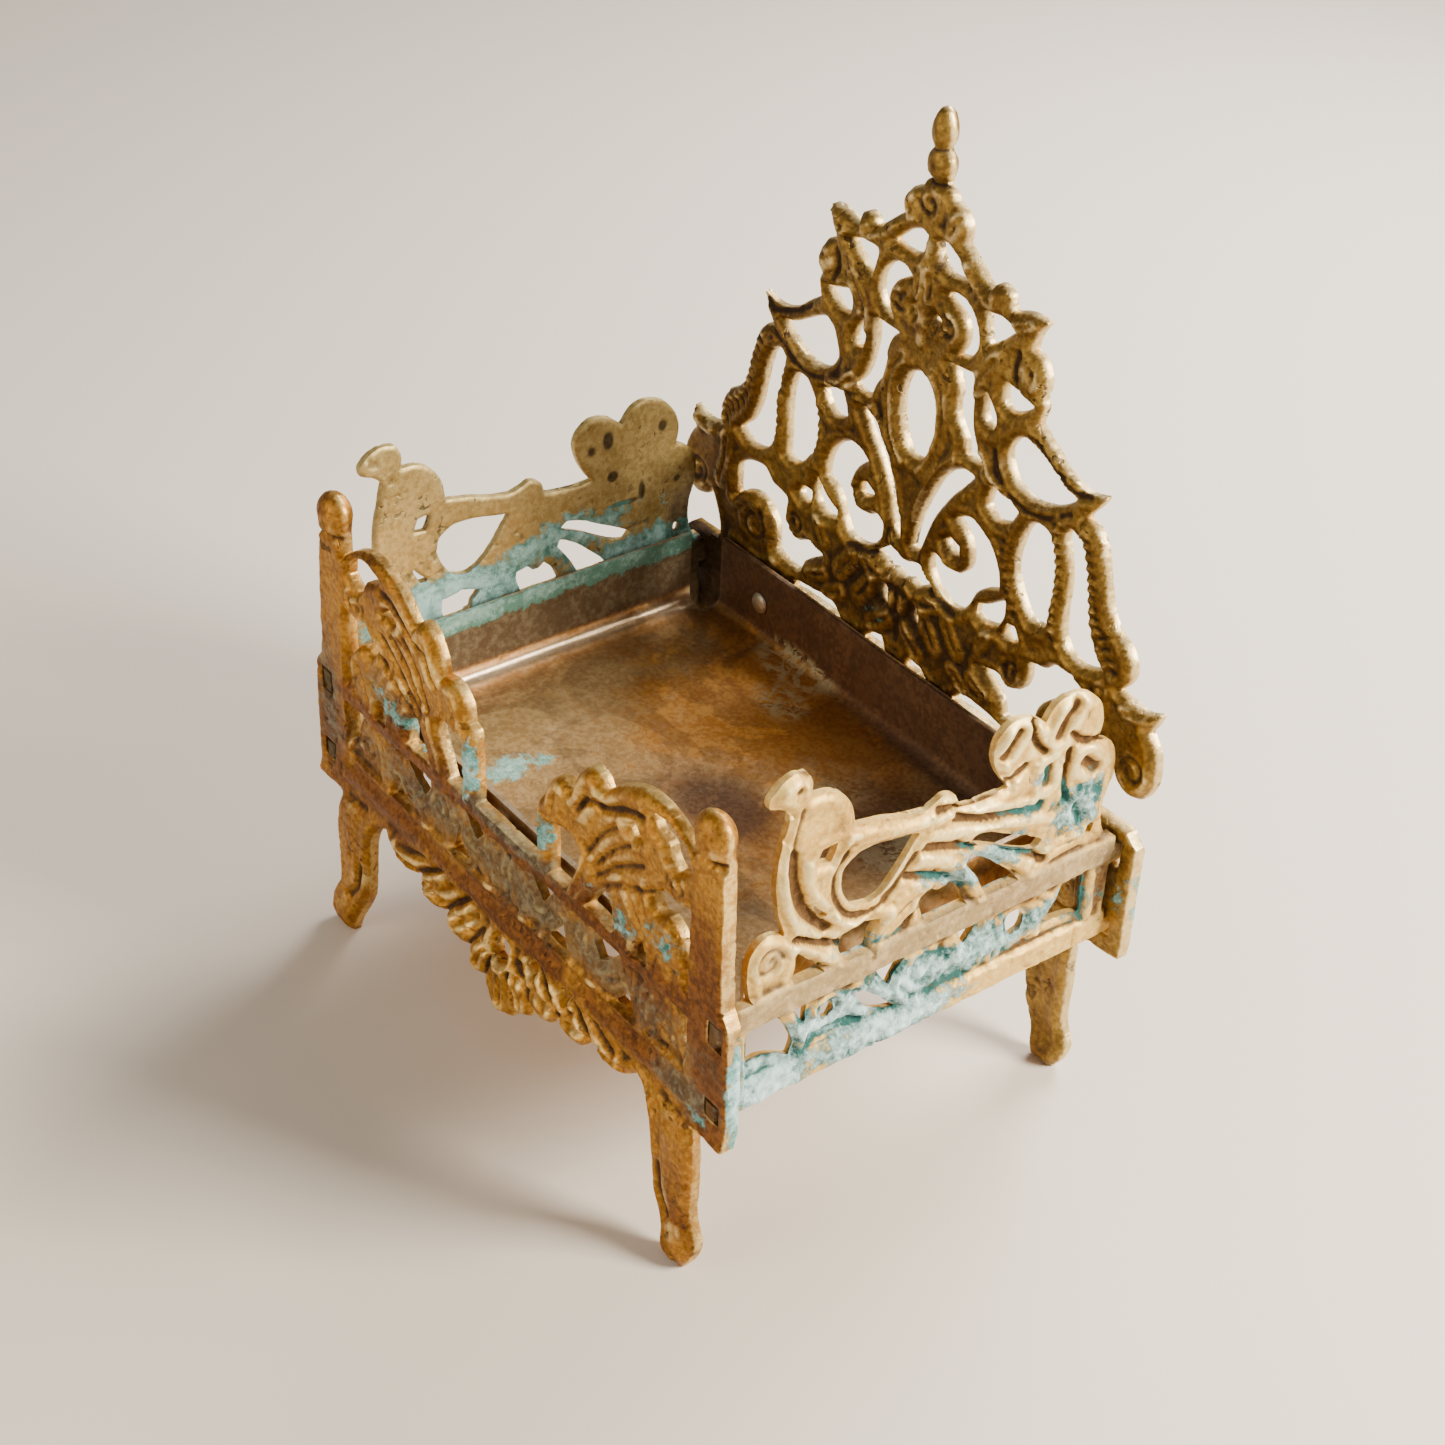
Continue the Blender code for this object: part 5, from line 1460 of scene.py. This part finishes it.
@dataclass
class Tray:
    """The pan folded from one notched sheet, drawn unfolded and bent up at its four sides.

    Attributes:
        sheet: Thickness.
        bend: Inner radius of the folds.
        notch: Cut-out at the corners, along each side.
        front_rim: Height of the low front wall.
        floor: Height of the floor's upper face.
        pitch: Grid step on the unfolded sheet.
        half_x: Half the width inside the side walls.
        half_y: Half the depth inside the front and back walls.
        middle_y: Where the middle lies along y.
        rim: Height of the other three walls.
    """

    sheet: float = 0.8
    bend: float = 1.8
    notch: float = 4.2
    front_rim: float = 43.9
    floor: float = 36.0
    pitch: float = 0.5
    half_x: float = field(init=False)
    half_y: float = field(init=False)
    middle_y: float = field(init=False)
    rim: float = field(init=False)

    def __post_init__(self) -> None:
        """Take the size of the pan from its node."""
        low, high = in_mm(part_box("tray"))
        self.middle_y = 0.5 * (low[1] + high[1])
        self.half_x, self.half_y = high[0] - self.sheet, 0.5 * (high[1] - low[1]) - self.sheet
        self.rim = high[2]

    def flap(self, top: float) -> float:
        """Length of flat sheet from the start of a fold to a wall's top."""
        return top - self.floor - self.bend + 0.5 * math.pi * self.bend

    def build(self, finish: Finish) -> bpy.types.Object:
        """Fold the sheet, dress it and put it in the node's place.

        Args:
            finish: What the piece is dressed in.

        Returns:
            The finished piece.
        """
        wide = self.half_x - self.bend + self.flap(self.rim)
        back = self.half_y - self.bend + self.flap(self.rim)
        fore = self.half_y - self.bend + self.flap(self.front_rim)
        nx, ny = self.half_x + self.sheet - self.notch, self.half_y + self.sheet - self.notch
        cross = ((wide, -ny), (wide, ny), (nx, ny), (nx, back), (-nx, back), (-nx, ny), (-wide, ny),
                 (-wide, -ny), (-nx, -ny), (-nx, -fore), (nx, -fore), (nx, -ny))
        lattice = Lattice(Outline.of_polygon(cross), self.pitch)
        none = np.zeros_like(lattice.u)
        hollow = self.stains_and_shade(lattice)
        edge = 1.0 - smooth_step(lattice.inset / 1.1)
        # crest: rim edges, rubbed and with painted highlight, and a broad painted highlight along the left
        # fold.
        crest = 0.8 * edge + 1.1 * np.exp(-((lattice.u + self.half_x - 0.6) / 2.1) ** 2)
        green, grime, rings = self.blooms(lattice)
        warmth = gathered(spots((-10.0, 20.0, 27.0, 20.0, 2.6), (14.0, 4.0, 24.0, 24.0, 1.5),
                                (-30.0, 27.0, 14.0, 8.0, 2.0)), lattice.u, lattice.v)
        marks = {"hollow": (hollow, none), "crest": (crest, crest), "brink": (edge, edge),
                 "green": (green, 0.6 * green), "grime": (grime, grime), "spots": (rings, none),
                 "warmth": (warmth - 1.0, none)}
        piece = lattice.solid("folded_tray", none, none + self.sheet, self.folded, marks)
        return seated(piece, "tray", finish.material())

    def stains_and_shade(self, lattice: Lattice) -> np.ndarray:
        """Painted shade at the folds, on the back wall and in the back-left corner, and brown stain clouds on
        the floor.

        Args:
            lattice: The grid over the sheet.

        Returns:
            The strength at each grid point.
        """
        u, v = lattice.u, lattice.v
        # Painted shade: the right fold, the back fold, stronger towards the right, and the back wall, which
        # lies in shade.
        behind = np.exp(-((v - self.half_y + 0.6) / 2.4) ** 2)
        behind *= 0.25 + 0.75 * smooth_step((u + 22.0) / 16.0)
        fold = np.exp(-((u - self.half_x + 0.6) / 2.4) ** 2) + behind
        back = 1.1 * smooth_step((v - self.half_y + 1.6) / 3.0)
        left = 0.62 * smooth_step((-u - self.half_x - 0.8) / 1.6)
        # The cloud at (-45, 36), in the back-left corner, is painted shade; the others are brown stain clouds
        # on the floor.
        clouds = gathered(spots((3.0, -1.0, 12.0, 8.0, 0.85), (21.0, 15.0, 17.0, 17.0, 0.72),
                                (20.0, -14.0, 14.0, 9.0, 0.4), (-45.0, 36.0, 4.6, 4.6, 1.0),
                                (9.0, 1.0, 5.0, 3.0, 0.45), (-6.0, -5.0, 5.0, 2.2, 0.4)), u, v)
        return np.clip(np.maximum(np.maximum(0.6 * fold, back), left) + clouds, 0.0, 1.2)

    def blooms(self, lattice: Lattice) -> tuple[np.ndarray, np.ndarray, np.ndarray]:
        """Verdigris along the left wall's rim and in patches on the floor, grime, and scale rings.

        Args:
            lattice: The grid over the sheet.

        Returns:
            Verdigris, grime and rings at each grid point.
        """
        u, v = lattice.u, lattice.v
        rim = smooth_step((-u - self.half_x - 6.3) / 4.0) * (0.84 + 0.22 * cloud(u, v, 6.0, 95))
        patches = gathered(spots((-20.0, -20.0, 4.2, 8.5, 0.8), (22.0, -10.0, 8.0, 6.0, 0.42),
                                 (33.0, -26.0, 8.0, 6.0, 0.55)), u, v)
        grime = 0.8 * smooth_step((-u - self.half_x - 0.8) / 2.0)
        grime += gathered(spots((24.0, -12.0, 9.0, 9.0, 0.5)), u, v)
        rings = gathered(spots((-18.0, 29.0, 9.0, 3.6, 1.5), (-12.0, 22.0, 6.0, 4.0, 1.0),
                               (8.0, 14.0, 14.0, 12.0, 0.5), (0.0, 4.0, 10.0, 8.0, 0.42),
                               (27.0, 14.0, 8.0, 14.0, 0.7)), u, v)
        return np.maximum(rim, patches), grime, rings

    def folded(self, u: np.ndarray, v: np.ndarray, depth: np.ndarray) -> np.ndarray:
        """Bend the sheet: flat to the fold, a quarter turn about its centre, then straight up.

        Each direction bends by the same rule: past the fold line the run along the sheet turns through
        run / bend, and the depth adds to the bending radius, so the sheet keeps its thickness.

        Args:
            u: Places across the flat sheet.
            v: Places along the flat sheet.
            depth: Depth below its upper face.

        Returns:
            Positions in millimetres.
        """
        def turned(run: np.ndarray, line: float) -> tuple[np.ndarray, np.ndarray]:
            """Outward place and rise of one direction.

            Args:
                run: Distance along the flat sheet.
                line: Place of the fold's wall.

            Returns:
                The place and the rise.
            """
            beyond = np.abs(run) - (line - self.bend)
            angle = np.clip(beyond / self.bend, 0.0, 0.5 * math.pi)
            radius = self.bend + depth
            straight = np.maximum(beyond - 0.5 * math.pi * self.bend, 0.0)
            out = np.minimum(np.abs(run), line - self.bend) + radius * np.sin(angle)
            rise = self.bend - radius * np.cos(angle) + straight
            return np.sign(run) * out, rise

        x, rise_x = turned(u, self.half_x)
        y, rise_y = turned(v, self.half_y)
        z = self.floor + rise_x + rise_y + depth
        dish = 0.30 * cloud(u, v, 24.0, 91) + 0.12 * cloud(u, v, 8.0, 92)
        walled = smooth_step((rise_x + rise_y + depth) / 3.0)
        z = z + dish * (1.0 - walled) - 0.18 * walled * (1.0 + cloud(u, v, 11.0, 93))
        lean = 0.25 * walled * cloud(u, v, 16.0, 94)
        x = x - np.sign(x) * np.abs(lean) * (np.abs(u) > self.half_x)
        y = y - np.abs(lean) * np.sign(y) * (np.abs(v) > self.half_y) + self.middle_y
        return np.stack([x, y, z], axis=1)


@dataclass
class Rivet:
    """A rivet turned about its axis: low dome, shank and peened tail, from the node's own lengths.

    Attributes:
        node: CAD node that the rivet stands for.
        name: Name of the visible piece.
        dome: Radius of the dome.
        shank: Radius of the shank.
        tail: Radius of the peened tail.
        ribs: How many flat sides stand for the round.
    """

    node: str
    name: str
    dome: float = 1.7
    shank: float = 0.75
    tail: float = 1.3
    ribs: int = 40

    def build(self, finish: Finish) -> bpy.types.Object:
        """Turn the section: radius against length, closed to a point at both ends.

        Args:
            finish: What the piece is dressed in.

        Returns:
            The finished piece.
        """
        low, high = in_mm(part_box(self.node))
        centre = 0.5 * (low + high)
        span = high[1] - low[1]
        bow = np.linspace(0.0, 0.5 * math.pi, 9)
        radius = np.concatenate([self.dome * np.sin(bow), [self.shank, self.shank],
                                 [self.tail * 0.92, self.tail], self.tail * np.cos(bow[1:])])
        along = np.concatenate([0.7 * (1.0 - np.cos(bow)), [0.7, span - 0.75], [span - 0.72, span - 0.5],
                                span - 0.5 + 0.5 * np.sin(bow[1:])])
        turn = np.linspace(0.0, 2 * math.pi, self.ribs, endpoint=False)
        points = np.stack([centre[0] + np.outer(radius, np.cos(turn)), low[1] + along[:, None] + 0 * turn,
                           centre[2] + np.outer(radius, np.sin(turn))], axis=-1).reshape(-1, 3)
        rows, ribs = len(radius), self.ribs
        points = np.vstack([points[ribs:-ribs], points[:ribs].mean(0), points[-ribs:].mean(0)])
        grid = np.arange((rows - 2) * ribs).reshape(rows - 2, ribs)
        after = np.roll(grid, -1, axis=1)
        sides = np.stack([grid[:-1], after[:-1], after[1:], grid[1:]], axis=-1).reshape(-1, 4)
        tip, end = np.full(ribs, len(points) - 2), np.full(ribs, len(points) - 1)
        caps = np.vstack([np.stack([tip, after[0], grid[0]], 1), np.stack([end, grid[-1], after[-1]], 1)])
        faces = sides.tolist() + caps.tolist()
        shade = np.zeros(len(points))
        values = {"hollow": shade, "crest": shade + 0.3, "brink": shade, "green": shade, "grime": shade}
        piece = mesh_piece(self.name, points, faces, values, RIVET_CREASE)
        return seated(piece, self.node, finish.material())


# -------------------------------------------------------------------------------------- studio

@dataclass
class Studio:
    """Pale floor, soft lights and the camera.

    Attributes:
        azimuth: Direction of the camera round the object, in degrees.
        elevation: Height of the camera, in degrees.
        roll: Turn of the camera about its own axis, in degrees.
        distance: From the target to the camera, in millimetres.
        target: Where the camera aims, in millimetres.
        lens: Focal length, in millimetres.
    """

    azimuth: float = 51.52
    elevation: float = 34.9
    roll: float = 2.77
    distance: float = 377.23
    target: tuple[float, float, float] = (-2.97, 4.79, 44.6)
    lens: float = 66.52

    def build(self) -> None:
        """Set up everything around the object."""
        self.floor()
        self.world()
        self.lamp("Key", (360.0, 230.0, 300.0), 170.0, 6.5, (1.0, 0.91, 0.76))
        self.lamp("Window", (-120.0, 400.0, 330.0), 260.0, 4.0, (1.0, 0.94, 0.86))
        self.lamp("Fill", (-60.0, -420.0, 200.0), 260.0, 0.9, (1.0, 0.84, 0.62))
        self.camera()

    def floor(self) -> None:
        """A wide pale floor."""
        half = 2.5
        mesh = bpy.data.meshes.new("Studio floor")
        corners = [(-half, -half, 0), (half, -half, 0), (half, half, 0), (-half, half, 0)]
        mesh.from_pydata(corners, [], [(0, 1, 2, 3)])
        floor = bpy.data.objects.new("Studio floor", mesh)
        bpy.context.scene.collection.objects.link(floor)
        material = bpy.data.materials.new("Pale floor")
        material.use_nodes = True
        shader = material.node_tree.nodes["Principled BSDF"]
        shader.inputs["Base Color"].default_value = (0.78, 0.72, 0.65, 1.0)
        shader.inputs["Roughness"].default_value = 0.75
        mesh.materials.append(material)

    def world(self) -> None:
        """An even pale surround."""
        world = bpy.data.worlds.new("Studio surround")
        world.use_nodes = True
        shade = world.node_tree.nodes["Background"]
        shade.inputs["Color"].default_value = (0.92, 0.88, 0.82, 1.0)
        shade.inputs["Strength"].default_value = 0.32
        bpy.context.scene.world = world

    def lamp(self, name: str, place: tuple[float, float, float], size: float, power: float,
             tint: Colour) -> None:
        """A soft square light aimed at the object, placed in millimetres.

        Args:
            name: Name of the light.
            place: Where it stands.
            size: Side of the square.
            power: Power in watts.
            tint: Colour of the light.
        """
        light = bpy.data.lights.new(name, "AREA")
        light.size = size * MM
        light.energy = power
        light.color = tint
        lamp = bpy.data.objects.new(name, light)
        lamp.location = Vector(place) * MM
        aim = Vector((0.0, 0.0, 0.05)) - lamp.location
        lamp.rotation_euler = aim.to_track_quat("-Z", "Y").to_euler()
        bpy.context.scene.collection.objects.link(lamp)

    def camera(self) -> None:
        """Aim the camera by azimuth, elevation and roll about its own axis."""
        az, el, roll = (math.radians(a) for a in (self.azimuth, self.elevation, self.roll))
        away = Vector((math.sin(az) * math.cos(el), -math.cos(az) * math.cos(el), math.sin(el)))
        right = Vector((math.cos(az), math.sin(az), 0.0))
        up = away.cross(right)
        across = math.cos(roll) * right + math.sin(roll) * up
        upward = -math.sin(roll) * right + math.cos(roll) * up
        camera = bpy.data.objects.new("Camera", bpy.data.cameras.new("Camera"))
        camera.data.sensor_width = 36.0
        camera.data.lens = self.lens
        place = (Vector(self.target) + self.distance * away) * MM
        turn = Matrix((across, upward, away)).transposed().to_4x4()
        camera.matrix_world = Matrix.Translation(place) @ turn
        bpy.context.scene.collection.objects.link(camera)
        bpy.context.scene.camera = camera


def main() -> None:
    """Build the finishes, the castings, the tray and the rivets, then the studio."""
    logging.basicConfig(level=logging.INFO, format="%(name)s: %(message)s")
    for make in (cast_grain_group, tarnish_group, crust_group):
        make()
    jobs = ((front_casting(), FRONT_BRASS), (back_casting(), HEAD_BRASS),
            (side_casting(Side.LEFT), LEFT_BRASS), (side_casting(Side.RIGHT), RIGHT_BRASS),
            (Tray(), TRAY_BRASS), (Rivet("left_rivet", "left_rivet_turned"), RIVET_METAL),
            (Rivet("right_rivet", "right_rivet_turned"), RIVET_METAL))
    for maker, finish in jobs:
        piece = maker.build(finish)
        LOG.info("%s: %d faces, finish %s", piece.name, len(piece.data.polygons), finish.name)
    Studio().build()


if __name__ == "__main__":
    main()
